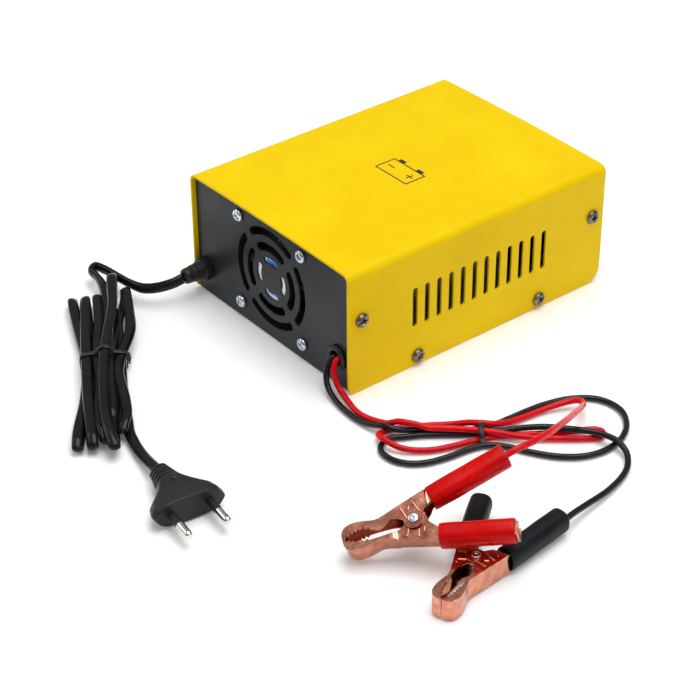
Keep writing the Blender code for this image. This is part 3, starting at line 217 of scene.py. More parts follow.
def circuit_print():
    """Solder mask with tracks under it."""
    made = Finish("board_tracks", coat=0.5)
    tracks = made.node("ShaderNodeTexBrick", {"Vector": made.coords, "Scale": 160.0,
                                              "Mortar Size": 0.03}).outputs["Fac"]
    made.colour(made.blend(tracks, (0.035, 0.13, 0.035), (0.10, 0.26, 0.06)))
    made.rough(made.spread(made.noise(200), 0.3, 0.7, 0.25, 0.45))
    made.bump(tracks, 0.3, 0.05 * MM)
    return made.material


YELLOW = powder_coat("yellow_powder_coat_peel", (0.80, 0.53, 0.0), (0.86, 0.60, 0.0), (0.28, 0.38), 420, 0.09)
PANEL_BLACK = powder_coat("black_panel_peel", (0.013, 0.015, 0.018), (0.022, 0.025, 0.029), (0.34, 0.46),
                          900, 0.25, specks=0.15)
COPPER = copper_plate()
DARK_SCREW = bare_metal("dark_nickel", (0.12, 0.10, 0.09), (0.33, 0.29, 0.26), (0.16, 0.34))
ZINC = bare_metal("blue_zinc", (0.42, 0.50, 0.62), (0.80, 0.86, 0.93), (0.14, 0.30))
RIVET_ZINC = bare_metal("rivet_zinc", (0.55, 0.62, 0.74), (0.86, 0.90, 0.96), (0.16, 0.32))
NICKEL = bare_metal("bright_nickel", (0.66, 0.62, 0.57), (0.90, 0.87, 0.82), (0.08, 0.2), (6, 0.6, 6))
SPRING = bare_metal("spring_wire", (0.30, 0.29, 0.28), (0.55, 0.54, 0.52), (0.25, 0.42))
ALUMINIUM = bare_metal("extruded_aluminium", (0.55, 0.56, 0.57), (0.76, 0.77, 0.78), (0.3, 0.48), (8, 0.5, 8))
CORD = mottled("cord_pvc", (0.004, 0.0045, 0.0055), (0.008, 0.009, 0.0105), (0.14, 0.24), 90, 1500, 0.0, gleam=0.24).material
BLACK_LEAD = mottled("black_lead_pvc", (0.006, 0.007, 0.009), (0.012, 0.013, 0.016), (0.16, 0.26), 110, 1800,
                     0.0, gleam=0.28).material
RED_LEAD = mottled("red_lead_pvc", (0.58, 0.001, 0.006), (0.74, 0.002, 0.014), (0.18, 0.30), 110, 1800, 0.0,
                   gleam=0.2).material
RED_SLEEVE = mottled("red_sleeve_pvc", (0.52, 0.0, 0.0), (0.66, 0.001, 0.001), (0.24, 0.34), 60, 260, 0.05,
                     0.05 * MM, gleam=0.14).material
BLACK_SLEEVE = mottled("black_sleeve_pvc", (0.004, 0.005, 0.007), (0.009, 0.011, 0.014), (0.36, 0.5), 60, 300,
                       0.06, 0.05 * MM, gleam=0.14).material
MOULDED = mottled("moulded_black", (0.009, 0.010, 0.011), (0.020, 0.022, 0.024), (0.34, 0.48), 90, 1600,
                  0.2, 0.03 * MM, gleam=0.3).material
GREY_MOULDED = mottled("moulded_grey", (0.06, 0.06, 0.065), (0.10, 0.10, 0.11), (0.4, 0.55), 90, 1300,
                       0.2, 0.03 * MM).material
RUBBER = mottled("soft_rubber", (0.010, 0.010, 0.011), (0.022, 0.022, 0.023), (0.28, 0.45), 120, 1500,
                 0.1, gleam=0.32).material
INK = mottled("mark_ink", (0.012, 0.012, 0.012), (0.03, 0.03, 0.028), (0.35, 0.5), 300, 2500, 0.1).material
FERRITE = mottled("ferrite_core", (0.035, 0.033, 0.035), (0.07, 0.066, 0.07), (0.6, 0.8), 200, 1500, 0.3).material
TAPE = mottled("winding_tape_yellow", (0.42, 0.36, 0.08), (0.58, 0.50, 0.14), (0.3, 0.45), 120, 700, 0.3,
               coat=0.3).material
CAN = mottled("capacitor_wrap", (0.02, 0.035, 0.12), (0.03, 0.05, 0.17), (0.25, 0.4), 120, 900, 0.1,
              coat=0.4).material
LENS = mottled("smoked_window", (0.016, 0.002, 0.003), (0.028, 0.003, 0.004), (0.08, 0.14), 60, 1500, 0.0,
               gleam=0.3).material
LED_RED = mottled("led_red_lens", (0.55, 0.02, 0.015), (0.70, 0.05, 0.03), (0.15, 0.25), 300, 1500, 0.05,
                  coat=0.5).material
LED_GREEN = mottled("led_green_lens", (0.04, 0.42, 0.06), (0.08, 0.56, 0.10), (0.15, 0.25), 300, 1500, 0.05,
                    coat=0.5).material
WIRE_RED = mottled("fan_wire_red", (0.55, 0.01, 0.01), (0.70, 0.03, 0.02), (0.3, 0.45), 200, 1500, 0.1).material
LABEL = label_print()
BOARD = circuit_print()


# ---------------------------------------------------------------- outlines

def arc(centre_a, centre_b, radius, start, end, steps):
    angles = [math.radians(start + (end - start) * i / steps) for i in range(steps + 1)]
    return [(centre_a + radius * math.cos(t), centre_b + radius * math.sin(t)) for t in angles]


def circle(centre_a, centre_b, radius, steps=32):
    return arc(centre_a, centre_b, radius, 0, 360 * (steps - 1) / steps, steps - 1)


def rounded_box(low_a, low_b, high_a, high_b, radii, steps=6):
    """A rectangle whose corners, from the low corner anticlockwise, have the given radii."""
    r0, r1, r2, r3 = radii
    return (arc(low_a + r0, low_b + r0, r0, 180, 270, steps)
            + arc(high_a - r1, low_b + r1, r1, 270, 360, steps)
            + arc(high_a - r2, high_b - r2, r2, 0, 90, steps)
            + arc(low_a + r3, high_b - r3, r3, 90, 180, steps))


def slot_across(centre_b, low_a, high_a, width):
    """A slot lying along the first axis, with round ends."""
    half = width / 2
    return (arc(high_a - half, centre_b, half, -90, 90, 8)
            + arc(low_a + half, centre_b, half, 90, 270, 8))


def arc_slot(centre_a, centre_b, inner, outer, quarter, steps=14):
    """A curved slot that fills one quarter between two spokes on the diagonals."""
    middle = (inner + outer) / 2
    half = (outer - inner) / 2
    trim = math.degrees((GRILLE_SPOKE / 2 + half * 0.7) / middle)
    start = quarter * 90 - 45 + trim
    end = quarter * 90 + 45 - trim
    end_a, end_b = arc(centre_a, centre_b, middle, end, end, 1)[0]
    start_a, start_b = arc(centre_a, centre_b, middle, start, start, 1)[0]
    return (arc(centre_a, centre_b, outer, start, end, steps)
            + arc(end_a, end_b, half, end, end + 180, 8)[1:-1]
            + arc(centre_a, centre_b, inner, end, start, steps)
            + arc(start_a, start_b, half, start + 180, start + 360, 8)[1:-1])


def box_outline(centre, size, grow=0.0):
    a, b = centre
    half_a, half_b = size[0] / 2 + grow, size[1] / 2 + grow
    return [(a - half_a, b - half_b), (a + half_a, b - half_b),
            (a + half_a, b + half_b), (a - half_a, b + half_b)]


# ---------------------------------------------------------------- mesh helpers

def link(item):
    bpy.context.scene.collection.objects.link(item)
    return item


def object_from(name, bm, material, smooth=40, weighted=True):
    """Turns a bmesh into a shaded object; large flats keep their normals past the soft edges."""
    bmesh.ops.recalc_face_normals(bm, faces=bm.faces)
    mesh = bpy.data.meshes.new(name)
    bm.to_mesh(mesh)
    bm.free()
    mesh.materials.append(material)
    mesh.shade_smooth()
    mesh.set_sharp_from_angle(angle=math.radians(smooth))
    item = link(bpy.data.objects.new(name, mesh))
    if weighted:
        modifier = item.modifiers.new("even_normals", "WEIGHTED_NORMAL")
        modifier.keep_sharp = True
    return item


def settle(item, nodes=(), body=BODY):
    """Hangs a piece on its body, and stands it in for CAD nodes."""
    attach(item, body)
    if nodes:
        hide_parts(*nodes)
    return item


def blank(outlines, thickness, edge):
    """A flat sheet in X and Y with holes; its rims are softened. The first outline is the outer."""
    curve = bpy.data.curves.new("blank", "CURVE")
    curve.dimensions = "2D"
    curve.fill_mode = "BOTH"
    curve.extrude = thickness / 2 - edge
    curve.bevel_depth = edge
    curve.bevel_resolution = 1
    curve.offset = -edge
    for outline in outlines:
        spline = curve.splines.new("POLY")
        spline.points.add(len(outline) - 1)
        for target, (a, b) in zip(spline.points, outline):
            target.co = (a, b, 0, 1)
        spline.use_cyclic_u = True
    item = link(bpy.data.objects.new("blank", curve))
    bpy.context.view_layer.update()
    mesh = bpy.data.meshes.new_from_object(item.evaluated_get(bpy.context.evaluated_depsgraph_get()))
    bpy.data.objects.remove(item)
    bm = bmesh.new()
    bm.from_mesh(mesh)
    bpy.data.meshes.remove(mesh)
    bmesh.ops.remove_doubles(bm, verts=bm.verts, dist=0.002 * MM)
    bmesh.ops.translate(bm, verts=bm.verts, vec=(0, 0, thickness / 2))
    return bm


def cut_across(bm, places, axis):
    """Adds an edge loop at each place along an axis, so that the sheet can bend there."""
    normal = Vector([float(i == axis) for i in range(3)])
    for place in places:
        geometry = bm.verts[:] + bm.edges[:] + bm.faces[:]
        bmesh.ops.bisect_plane(bm, geom=geometry, plane_co=normal * place, plane_no=normal, dist=1e-7)


def moved(bm, function):
    for vert in bm.verts:
        vert.co = function(*vert.co)


def merge(target, source):
    """Adds one bmesh to another."""
    mesh = bpy.data.meshes.new("merge")
    source.to_mesh(mesh)
    source.free()
    target.from_mesh(mesh)
    bpy.data.meshes.remove(mesh)


def loft(bm, rings, closed=True, caps=True):
    """Skins rings of points with the same count."""
    loops = [[bm.verts.new(point) for point in ring] for ring in rings]
    count = len(loops[0])
    for lower, upper in zip(loops, loops[1:]):
        for i in range(count if closed else count - 1):
            j = (i + 1) % count
            bm.faces.new((lower[i], lower[j], upper[j], upper[i]))
    if caps:
        bm.faces.new(loops[0])
        bm.faces.new(loops[-1])
    return loops


def turned_rings(profile, segments):
    return [[(r * math.cos(2 * math.pi * i / segments), r * math.sin(2 * math.pi * i / segments), h)
             for i in range(segments)] for r, h in profile]


def aim(centre, axis):
    """A matrix that takes local +Z to axis at centre."""
    turn = Vector((0, 0, 1)).rotation_difference(Vector(axis)).to_matrix().to_4x4()
    return Matrix.Translation(centre) @ turn


def turned(name, profile, centre, axis, material, segments=40, smooth=40):
    bm = bmesh.new()
    loft(bm, turned_rings(profile, segments))
    bmesh.ops.transform(bm, matrix=aim(centre, axis), verts=bm.verts)
    return object_from(name, bm, material, smooth)


def smooth_curve(points, per_span=16):
    """A centripetal Catmull-Rom curve through the points, with many samples on each span."""
    given = np.array(points, dtype=float)
    given = np.vstack([2 * given[0] - given[1], given, 2 * given[-1] - given[-2]])
    samples = []
    for i in range(1, len(given) - 2):
        p0, p1, p2, p3 = given[i - 1:i + 3]
        t1 = np.linalg.norm((p1 - p0)[:3]) ** 0.5
        t2 = t1 + np.linalg.norm((p2 - p1)[:3]) ** 0.5
        t3 = t2 + np.linalg.norm((p3 - p2)[:3]) ** 0.5
        for t in np.linspace(t1, t2, per_span, endpoint=False):
            a1 = (t1 - t) / t1 * p0 + t / t1 * p1
            a2 = (t2 - t) / (t2 - t1) * p1 + (t - t1) / (t2 - t1) * p2
            a3 = (t3 - t) / (t3 - t2) * p2 + (t - t2) / (t3 - t2) * p3
            b1 = (t2 - t) / t2 * a1 + t / t2 * a2
            b2 = (t3 - t) / (t3 - t1) * a2 + (t - t1) / (t3 - t1) * a3
            samples.append((t2 - t) / (t2 - t1) * b1 + (t - t1) / (t2 - t1) * b2)
    samples.append(given[-2])
    return np.array(samples)


def round_cord(name, points, radius, material, resolution=5):
    """A filled tube on one open spline through the points."""
    curve = bpy.data.curves.new(name, "CURVE")
    curve.dimensions = "3D"
    curve.bevel_depth = radius
    curve.bevel_resolution = resolution
    curve.use_fill_caps = True
    spline = curve.splines.new("POLY")
    spline.points.add(len(points) - 1)
    for target, point in zip(spline.points, points):
        target.co = (*point[:3], 1.0)
    spline.use_smooth = True
    curve.materials.append(material)
    return link(bpy.data.objects.new(name, curve))


def refined(node, material, edge, body=BODY, segments=2):
    """A CAD piece with its sharp edges softened, as a moulding or pressing has them."""
    item = object_from(node + "_finished", cleaned(node), material, 50, False)
    bevel = item.modifiers.new("soft_edges", "BEVEL")
    bevel.width = edge
    bevel.segments = segments
    bevel.limit_method = "ANGLE"
    bevel.angle_limit = math.radians(38)
    item.modifiers.new("even_normals", "WEIGHTED_NORMAL").keep_sharp = True
    return settle(item, [node], body)


# ---------------------------------------------------------------- case

def fold_cover(u, y, w):
    """Takes the cover's flat blank to its folded U: u runs from the middle of the top, w is depth."""
    inner = COVER_BEND - COVER_SHEET
    middle = COVER_BEND - COVER_SHEET / 2
    flat_half = SIDE_X - COVER_BEND
    bend = middle * math.pi / 2
    side = math.copysign(1.0, u)
    run = abs(u)
    depth = w
    if run <= flat_half:
        crown = CROWN * (1 - (u / flat_half) ** 2)
        return (u, y, CASE_TOP - COVER_SHEET + crown + depth)
    if run <= flat_half + bend:
        turn = (run - flat_half) / middle
        radius = inner + depth
        return (side * (flat_half + radius * math.sin(turn)), y,
                CASE_TOP - COVER_BEND + radius * math.cos(turn))
    drop = run - flat_half - bend
    return (side * (SIDE_X - COVER_SHEET + depth), y, CASE_TOP - COVER_BEND - drop)


def cover_sheet():
    """The yellow cover: one blank with its slots and screw holes, folded over the chassis."""
    flat_half = SIDE_X - COVER_BEND
    bend = (COVER_BEND - COVER_SHEET / 2) * math.pi / 2
    reach = flat_half + bend + CASE_TOP - COVER_BEND
    outline = rounded_box(-reach, -END_Y, reach, END_Y,
                          (4.5 * MM, 4.5 * MM, 8.5 * MM, 8.5 * MM), 10)

    def station(z):
        return flat_half + bend + CASE_TOP - COVER_BEND - z

    holes = []
    for side in (-1, 1):
        for y in SLOT_CENTRES:
            low, high = sorted((side * station(22.7 * MM), side * station(44.7 * MM)))
            holes.append(slot_across(y, low, high, 3.0 * MM))
        for sign in (-1, 1):
            for y, z in ((75 * MM, 40.5 * MM), (40 * MM, 5.5 * MM)):
                holes.append(circle(side * station(z), sign * y, 1.75 * MM, 24))
    bm = blank([outline] + holes, COVER_SHEET, 0.22 * MM)
    stations = [sign * (flat_half + bend * k / 8) for sign in (-1, 1) for k in range(9)]
    stations += [flat_half * k / 8 for k in range(-7, 8)]
    cut_across(bm, stations, 0)
    cut_across(bm, [END_Y * k / 5 for k in (-4, -2, 0, 2, 4)], 1)
    moved(bm, fold_cover)
    settle(object_from("cover", bm, YELLOW, 30), ["top_cover"])


def panel_holes(fan_end):
    if not fan_end:
        return [box_outline((-27 * MM, 42 * MM), (46 * MM, 21 * MM)),
                box_outline((39 * MM, 36 * MM), (13 * MM, 19.2 * MM)),
                circle(10 * MM, 42 * MM, 5.3 * MM, 32), circle(-39 * MM, 18 * MM, 2.6 * MM, 20),
                circle(-27 * MM, 18 * MM, 2.6 * MM, 20)]
    holes = [arc_slot(0, FAN_Z, inner, outer, quarter)
             for inner, outer in GRILLE_RINGS for quarter in range(4)]
    holes += [circle(x, FAN_Z + z, 1.75 * MM, 24) for x in (-25 * MM, 25 * MM) for z in (-25 * MM, 25 * MM)]
    holes += [circle(*GLAND, 4.6 * MM, 32), circle(*LEAD_HOLE, 5.3 * MM, 32)]
    return holes


def end_panel(fan_end):
    sheet = 1.0 * MM
    outline = rounded_box(-PANEL_X, 0.35 * MM, PANEL_X, PANEL_TOP,
                          (0.9 * MM, 0.9 * MM, 2.5 * MM, 2.5 * MM), 5)
    bm = blank([outline] + panel_holes(fan_end), sheet, 0.18 * MM)
    cut_across(bm, [PANEL_X * k / 6 for k in range(-5, 6)], 0)
    sign = -1 if fan_end else 1
    edge = 2.6 * MM

    def stand(x, z, w):
        """Upright sheet; its top edge follows the crown of the cover."""
        share = max(0.0, (z - PANEL_TOP) / edge + 1)
        return (x, sign * (PANEL_Y - sheet + w), z + share * CROWN * (1 - (x / PANEL_X) ** 2))

    moved(bm, stand)
    return bm


def chassis_sheet():
    """Floor, two end panels and the side flanges of the black chassis."""
    sheet = 1.0 * MM
    bm = end_panel(True)
    merge(bm, end_panel(False))
    floor = blank([rounded_box(-PANEL_X, -PANEL_Y + 0.3 * MM, PANEL_X, PANEL_Y - 0.3 * MM,
                               (0.5 * MM,) * 4, 2)], sheet, 0.15 * MM)
    merge(bm, floor)
    wall = PANEL_Y - sheet
    for side in (-1, 1):
        for sign in (-1, 1):
            low, high = sorted((sign * (wall + 0.4 * MM), sign * 68 * MM))
            flange = blank([rounded_box(low, 0.5 * MM, high, 59.8 * MM, (0.8 * MM,) * 4, 3),
                            circle(sign * 75 * MM, 40.5 * MM, 1.75 * MM, 20)], sheet, 0.15 * MM)
            moved(flange, lambda y, z, w: (side * (PANEL_X - sheet + w), y, z))
            merge(bm, flange)
        lip = blank([rounded_box(-56.9 * MM, 0.3 * MM, 56.9 * MM, 11 * MM, (0.3 * MM,) * 4, 2),
                     circle(-40 * MM, 5.5 * MM, 1.75 * MM, 20), circle(40 * MM, 5.5 * MM, 1.75 * MM, 20)],
                    sheet, 0.15 * MM)
        moved(lip, lambda y, z, w: (side * (PANEL_X - sheet + w), y, z))
        merge(bm, lip)
    settle(object_from("chassis", bm, PANEL_BLACK, 30), ["base_chassis"])


# ---------------------------------------------------------------- screws

def cross_head(name, node, material, radius, height, centre, axis, spin):
    """Pan head with a cross recess, and its threaded shank."""
    bm = bmesh.new()
    arm, half = radius * 0.56, radius * 0.14
    star = []
    for quarter in range(4):
        turn = Matrix.Rotation(math.radians(90 * quarter + spin), 3, "Z")
        for a, b in ((arm, -half), (arm, half), (half * 1.25, half * 1.25)):
            star.append(turn @ Vector((a, b, 0)))
    rings = []
    for share, rise in ((1.0, 0.0), (1.0, 0.30), (0.97, 0.52), (0.88, 0.74), (0.74, 0.90), (0.66, 0.96)):
        rings.append([(x, y, rise * height) for x, y, _ in turned_rings([(radius * share, 0)], 48)[0]])
    loops = loft(bm, rings, caps=False)
    rim = [bm.verts.new((p.x, p.y, 0.985 * height)) for p in star]
    edges = []
    for loop in (loops[-1], rim):
        for i, vert in enumerate(loop):
            following = loop[(i + 1) % len(loop)]
            edges.append(bm.edges.get((vert, following)) or bm.edges.new((vert, following)))
    bmesh.ops.triangle_fill(bm, use_beauty=True, edges=edges)
    deep = [bm.verts.new((p.x * 0.62, p.y * 0.62, 0.30 * height)) for p in star]
    for i in range(12):
        j = (i + 1) % 12
        bm.faces.new((rim[i], rim[j], deep[j], deep[i]))
    bm.faces.new(deep)
    low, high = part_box(node)
    reach = abs((high - low).dot(Vector(axis))) - height
    shank = [(1.4 * MM, 0.05 * MM)]
    turns = int(reach / (0.5 * MM))
    for k in range(turns):
        depth = -k * reach / turns
        shank += [(1.4 * MM, depth), (1.18 * MM, depth - 0.25 * MM)]
    shank.append((0.9 * MM, -reach))
    loft(bm, turned_rings(shank, 20))
    bmesh.ops.transform(bm, matrix=aim(centre, axis), verts=bm.verts)
    settle(object_from(name, bm, material, 35), [node])


def screws():
    nodes = [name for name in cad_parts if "screw" in name]
    for index, node in enumerate(sorted(nodes)):
        low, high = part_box(node)
        middle = (low + high) / 2
        if "fan" in node:
            axis = Vector((0, -1, 0))
            centre = Vector((middle.x, low.y + 1.9 * MM, middle.z))
            cross_head(node + "_head", node, ZINC, 3.3 * MM, 1.9 * MM, centre, axis,
                       17 + 31 * index)
        else:
            side = math.copysign(1.0, middle.x)
            axis = Vector((side, 0, 0))
            outer = high.x if side > 0 else low.x
            centre = Vector((outer - side * 1.9 * MM, middle.y, middle.z))
            cross_head(node + "_head", node, DARK_SCREW, 3.7 * MM, 1.9 * MM, centre,
                       axis, 11 + 37 * index)


# ---------------------------------------------------------------- cord bushes

def bushes():
    outer = -PANEL_Y - 0.3 * MM
    ring = [(3.9, -3.0), (4.9, -3.0), (5.0, -2.8), (5.0, 0.0), (6.2, 0.0), (6.4, 0.2), (6.4, 0.9), (6.15, 1.35),
            (5.7, 1.75), (5.1, 1.9), (4.5, 1.85), (4.05, 1.6), (3.9, 1.3)]
    bm = bmesh.new()
    rows = turned_rings([(r * MM, h * MM) for r, h in ring], 48)
    rows.append(rows[0])
    loft(bm, rows, caps=False)
    bmesh.ops.remove_doubles(bm, verts=bm.verts, dist=0.001 * MM)
    bmesh.ops.transform(bm, matrix=aim((LEAD_HOLE[0], outer, LEAD_HOLE[1]), (0, -1, 0)), verts=bm.verts)
    settle(object_from("grommet", bm, RUBBER, 50), ["lead_grommet"])
    profile = [(3.9, -5.0), (4.2, -4.8), (4.2, 0.0), (5.9, 0.0), (6.2, 0.3), (6.2, 3.6), (5.95, 3.95), (5.0, 4.15),
               (4.9, 4.4), (4.75, 6.2), (4.6, 6.5), (4.25, 6.55), (4.2, 7.25), (4.5, 7.3), (4.6, 7.5), (4.42, 9.2),
               (4.3, 9.5), (3.95, 9.55), (3.9, 10.25), (4.1, 10.3), (4.2, 10.5), (4.1, 12.2), (3.95, 13.6),
               (3.6, 14.0), (2.5, 14.0), (2.5, 13.0)]
    relief = turned("strain_relief_bush", [(r * MM, h * MM) for r, h in profile],
                    (GLAND[0], outer, GLAND[1]), (0, -1, 0), RUBBER, 48, 50)
    settle(relief, ["strain_relief"])


# ---------------------------------------------------------------- inside and control panel

def insides():
    plain = (("fan_frame", MOULDED, "black_plastic", 0.35), ("fan_stator", GREY_MOULDED, "grey_plastic", 0.3),
             ("fan_label", LABEL, "fan_label", 0.05))
    for node, material, slot, edge in plain:
        refined(node, material, edge * MM)
    refined("fan_rotor", GREY_MOULDED, 0.15 * MM, "fan_rotor")
    refined("power_rocker", MOULDED, 0.45 * MM, "power_rocker")
    refined("mode_button", GREY_MOULDED, 0.3 * MM, "mode_button")
    finishes = {"board_green": BOARD, "ferrite": FERRITE, "winding_tape": TAPE, "capacitor_sleeve": CAN,
                "aluminium": ALUMINIUM, "smoked_lens": LENS, "led_red": LED_RED, "led_green": LED_GREEN,
                "black_plastic": MOULDED, "grey_plastic": GREY_MOULDED}
    done = {"fan_frame", "fan_stator", "fan_label", "fan_rotor", "power_rocker", "mode_button"}
    for node, item in sorted(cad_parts.items()):
        slot = item.data.materials[0].name.split(".")[0]
        if slot in finishes and node not in done and not node.startswith("plug"):
            refined(node, finishes[slot], 0.3 * MM)


def fan_wires():
    """Two thin wires from the fan's motor past its frame to the board."""
    for number, (start_x, material, slot) in enumerate(((-9.0, WIRE_RED, "red_lead"), (-11.2, CORD, "black_cord"))):
        points = [(start_x - 1, -77.6, 41), (start_x - 7, -77.6, 44), (start_x - 14.5, -77.4, 47.5),
                  (start_x - 20, -76.4, 49.5), (start_x - 23.3, -72.5, 48.5), (start_x - 24.2, -66, 43),
                  (start_x - 24.5, -56, 30), (start_x - 24, -50, 14), (start_x - 23, -49, 9.2)]
        route = smooth_curve(np.array(points) * MM, 8)
        settle(round_cord(f"fan_wire_{number}", route, 0.7 * MM, material, 3))


def top_mark():
    """A plain battery sign printed on the cover."""
    bm = bmesh.new()

    def patch(low_x, low_y, high_x, high_y):
        columns = 8
        rows = [[bm.verts.new((low_x + (high_x - low_x) * i / columns, y, 0)) for i in range(columns + 1)]
                for y in (low_y, high_y)]
        for i in range(columns):
            bm.faces.new((rows[0][i], rows[0][i + 1], rows[1][i + 1], rows[1][i]))

    bars = [(-9, -8, 15, -7.2), (-9, 4.2, 15, 5), (-9, -7.2, -8.2, 4.2), (14.2, -7.2, 15, 4.2),
            (-6, 5, -1.5, 7), (7.5, 5, 12, 7), (-6, -1.9, -1.5, -1.1), (8, -1.9, 12.5, -1.1),
            (9.85, -3.75, 10.65, -1.9), (9.85, -1.1, 10.65, 0.75)]
    for low_x, low_y, high_x, high_y in bars:
        patch(low_x * MM, low_y * MM, high_x * MM, high_y * MM)
    flat_half = SIDE_X - COVER_BEND
    moved(bm, lambda x, y, z: (x, y, CASE_TOP + CROWN * (1 - (x / flat_half) ** 2) + 0.004 * MM))
    settle(object_from("battery_sign", bm, INK, 30, False))


# ---------------------------------------------------------------- mains cord

HANK_TURN = Matrix.Translation((-26 * MM, -163 * MM, 0)) @ Matrix.Rotation(math.radians(-31.4), 4, "Z")
CORD_HALF_WIDTH = 2.7 * MM
CORD_HALF_DEPTH = 1.7 * MM

# Along the hank, across it, height; the cord lies flat except where it leaves the case
GLAND_RUN = [(-67, 15.5, 8.6), (-73, 11.2, 8.0), (-79, 6.8, 7.8), (-84, 2.6, 7.8), (-87, -1.6, 7.9),
             (-83.2, -3.9, 7.9), (-77, -1.0, 7.7)]
HANK_RUNS = [
    (-66, 2, 7.5), (-48, 3.5, 7.6), (-24, 3, 8.2), (-3, 2.7, 8.65), (18, 3, 8.3), (34, 3.5, 7.6),
    (42.5, 3.2, 6.6), (44.5, 3.1, 4.4), (42, 3, 2.1), (30, 2.9, 1.75), (-3, 2.7, 1.75), (-40, 1, 1.9),
    (-57, -1.2, 2.2), (-61, -1.5, 4.8), (-58, -1.5, 7.2), (-35, -1.2, 8.3), (-3, -2.8, 8.65),
    (17, -2.2, 8.4), (42, -3.7, 7.7), (56, -2.2, 7.2), (60.3, -1.2, 4.8), (56.5, -1.6, 2.3),
    (40, -3, 1.8), (-3, -2.7, 1.75), (-40, -6.5, 1.9), (-56, -7.4, 2.2), (-60, -7.7, 4.8),
    (-57, -7.8, 7.2), (-35, -8, 8.3), (-3, -8.3, 8.65), (30, -8.3, 8.2), (52, -7.6, 7.5),
    (60.5, -7.2, 6.8), (63.5, -7, 4.6), (60, -7.4, 2.4), (40, -8, 1.8), (-3, -8.1, 1.75), (-40, -12, 1.8),
    (-58, -13.8, 1.9), (-61.7, -14, 3.6), (-58, -14, 5.4), (-38, -12.2, 5.4), (-3, -8.3, 5.2),
    (30, -10, 5.3), (50, -13.2, 5.2), (59, -14, 5.2), (62.8, -14.2, 3.5), (59, -14, 1.8), (45, -12, 1.9),
    (25, -7, 3.2), (-3, -2.7, 5.2), (-35, 2, 5.2), (-58, 5.2, 5.2), (-68.5, 6.3, 5.4), (-73.8, 6.5, 8.8),
    (-69, 6.4, 12.1), (-60, 6.1, 12.2), (-46, 5.9, 12.1), (-19, 2.6, 12), (-3, 0.8, 12.1), (23, -0.2, 11.8),
    (48, -0.1, 11.1), (62, 1.2, 10.2), (69.3, 2.8, 7.7), (64, 2.9, 5.3), (45, 2.8, 5.2), (-3, 2.7, 5.2),
    (-40, 9, 5.2), (-58, 12.4, 5.3), (-62.7, 12.8, 7.2), (-58.5, 13, 9), (-43, 13.9, 9), (-25, 14, 8.9),
    (-6, 9.4, 8.7), (-3, 8.6, 8.65), (10.5, 6.7, 8.6), (34, 8.9, 8.5), (46, 9.2, 8), (52, 7.6, 7.4),
    (55.2, 6.6, 6), (51, 6.8, 4.9), (35, 7.8, 5.1), (-3, 8.1, 5.2), (-30, 8.1, 5.1), (-46, 8, 5),
    (-49.6, 8, 3.4), (-46, 8, 1.8), (-20, 8.1, 1.75), (-3, 8.1, 1.75), (28, 8.4, 2), (40.5, 9.3, 2.5)]
CORD_START = [(-55, -96.2, 13.9), (-56.5, -101.5, 12.4), (-60.5, -108, 10.6), (-66.3, -112.8, 9.3)]
CORD_TAIL = [(24.2, -182, 2.7), (30.5, -184.2, 2.7), (38.5, -186.4, 3), (47, -188.3, 4.2), (54.5, -189.8, 5.8),
             (60.5, -190.7, 6.8), (63.6, -191.2, 6.95)]


def mains_route():
    """Rows of centre and width direction along the whole cord, in metres."""
    across = HANK_TURN.to_3x3() @ Vector((0, 1, 0))
    edge_on = Vector((0.0, 0.0, 1.0))
    rows = []
    for point in CORD_START:
        lean = Vector((-0.35, 0.2, 1.0)).normalized()
        rows.append((Vector(point) * MM, lean))
    for point in GLAND_RUN:
        rows.append((HANK_TURN @ (Vector(point) * MM), edge_on))
    for point in HANK_RUNS:
        lean = math.radians(20) * math.sin(point[0] * 0.06 + point[1] * 0.35 + point[2] * 0.2)
        lean *= min(1.0, abs(point[0] + 3) / 25)
        rows.append((HANK_TURN @ (Vector(point) * MM), across * math.cos(lean) + edge_on * math.sin(lean)))
    for share, point in enumerate(CORD_TAIL):
        rows.append((Vector(point) * MM, Vector((-0.1, 1.0, 0.0)).normalized()))
    rows[len(CORD_START) + len(GLAND_RUN)] = (rows[len(CORD_START) + len(GLAND_RUN)][0],
                                              (across * 0.75 + edge_on * 0.65).normalized())
    dense = smooth_curve([(*centre, *width) for centre, width in rows], 12)
    return dense


def flat_cord(name, dense):
    """Mesh of the flat cord: an oval section carried along the route."""
    points = dense[:, :3]
    tangent = np.gradient(points, axis=0)
    tangent /= np.linalg.norm(tangent, axis=1)[:, None]
    width = dense[:, 3:6]
    width = width - (width * tangent).sum(axis=1)[:, None] * tangent
    width /= np.linalg.norm(width, axis=1)[:, None]
    depth = np.cross(tangent, width)
    section = [(CORD_HALF_WIDTH * a, CORD_HALF_DEPTH * b) for a, b in circle(0, 0, 1.0, 24)]
    bm = bmesh.new()
    rings = [[Vector(points[k] + a * width[k] + b * depth[k]) for a, b in section] for k in range(len(points))]
    loft(bm, rings)
    return object_from(name, bm, CORD, 60, False)


def plug_section(half_width, half_height, flat, cut=0.22):
    low = 0.12 * half_height
    side = [(half_width, low), (half_width * flat, half_height), (-half_width * flat, half_height),
            (-half_width, low)]
    ring = side + [(-a, -b) for a, b in side]
    for amount in (cut, 0.3, 0.3):
        finer = []
        for i, here in enumerate(ring):
            following = ring[(i + 1) % len(ring)]
            for share in (amount, 1 - amount):
                finer.append((here[0] + (following[0] - here[0]) * share,
                              here[1] + (following[1] - here[1]) * share))
        ring = finer
    return ring


PLUG_TURN = Matrix.Translation((61.2 * MM, -191.0 * MM, 6.95 * MM)) @ Matrix.Rotation(math.radians(-7.5), 4, "Z")


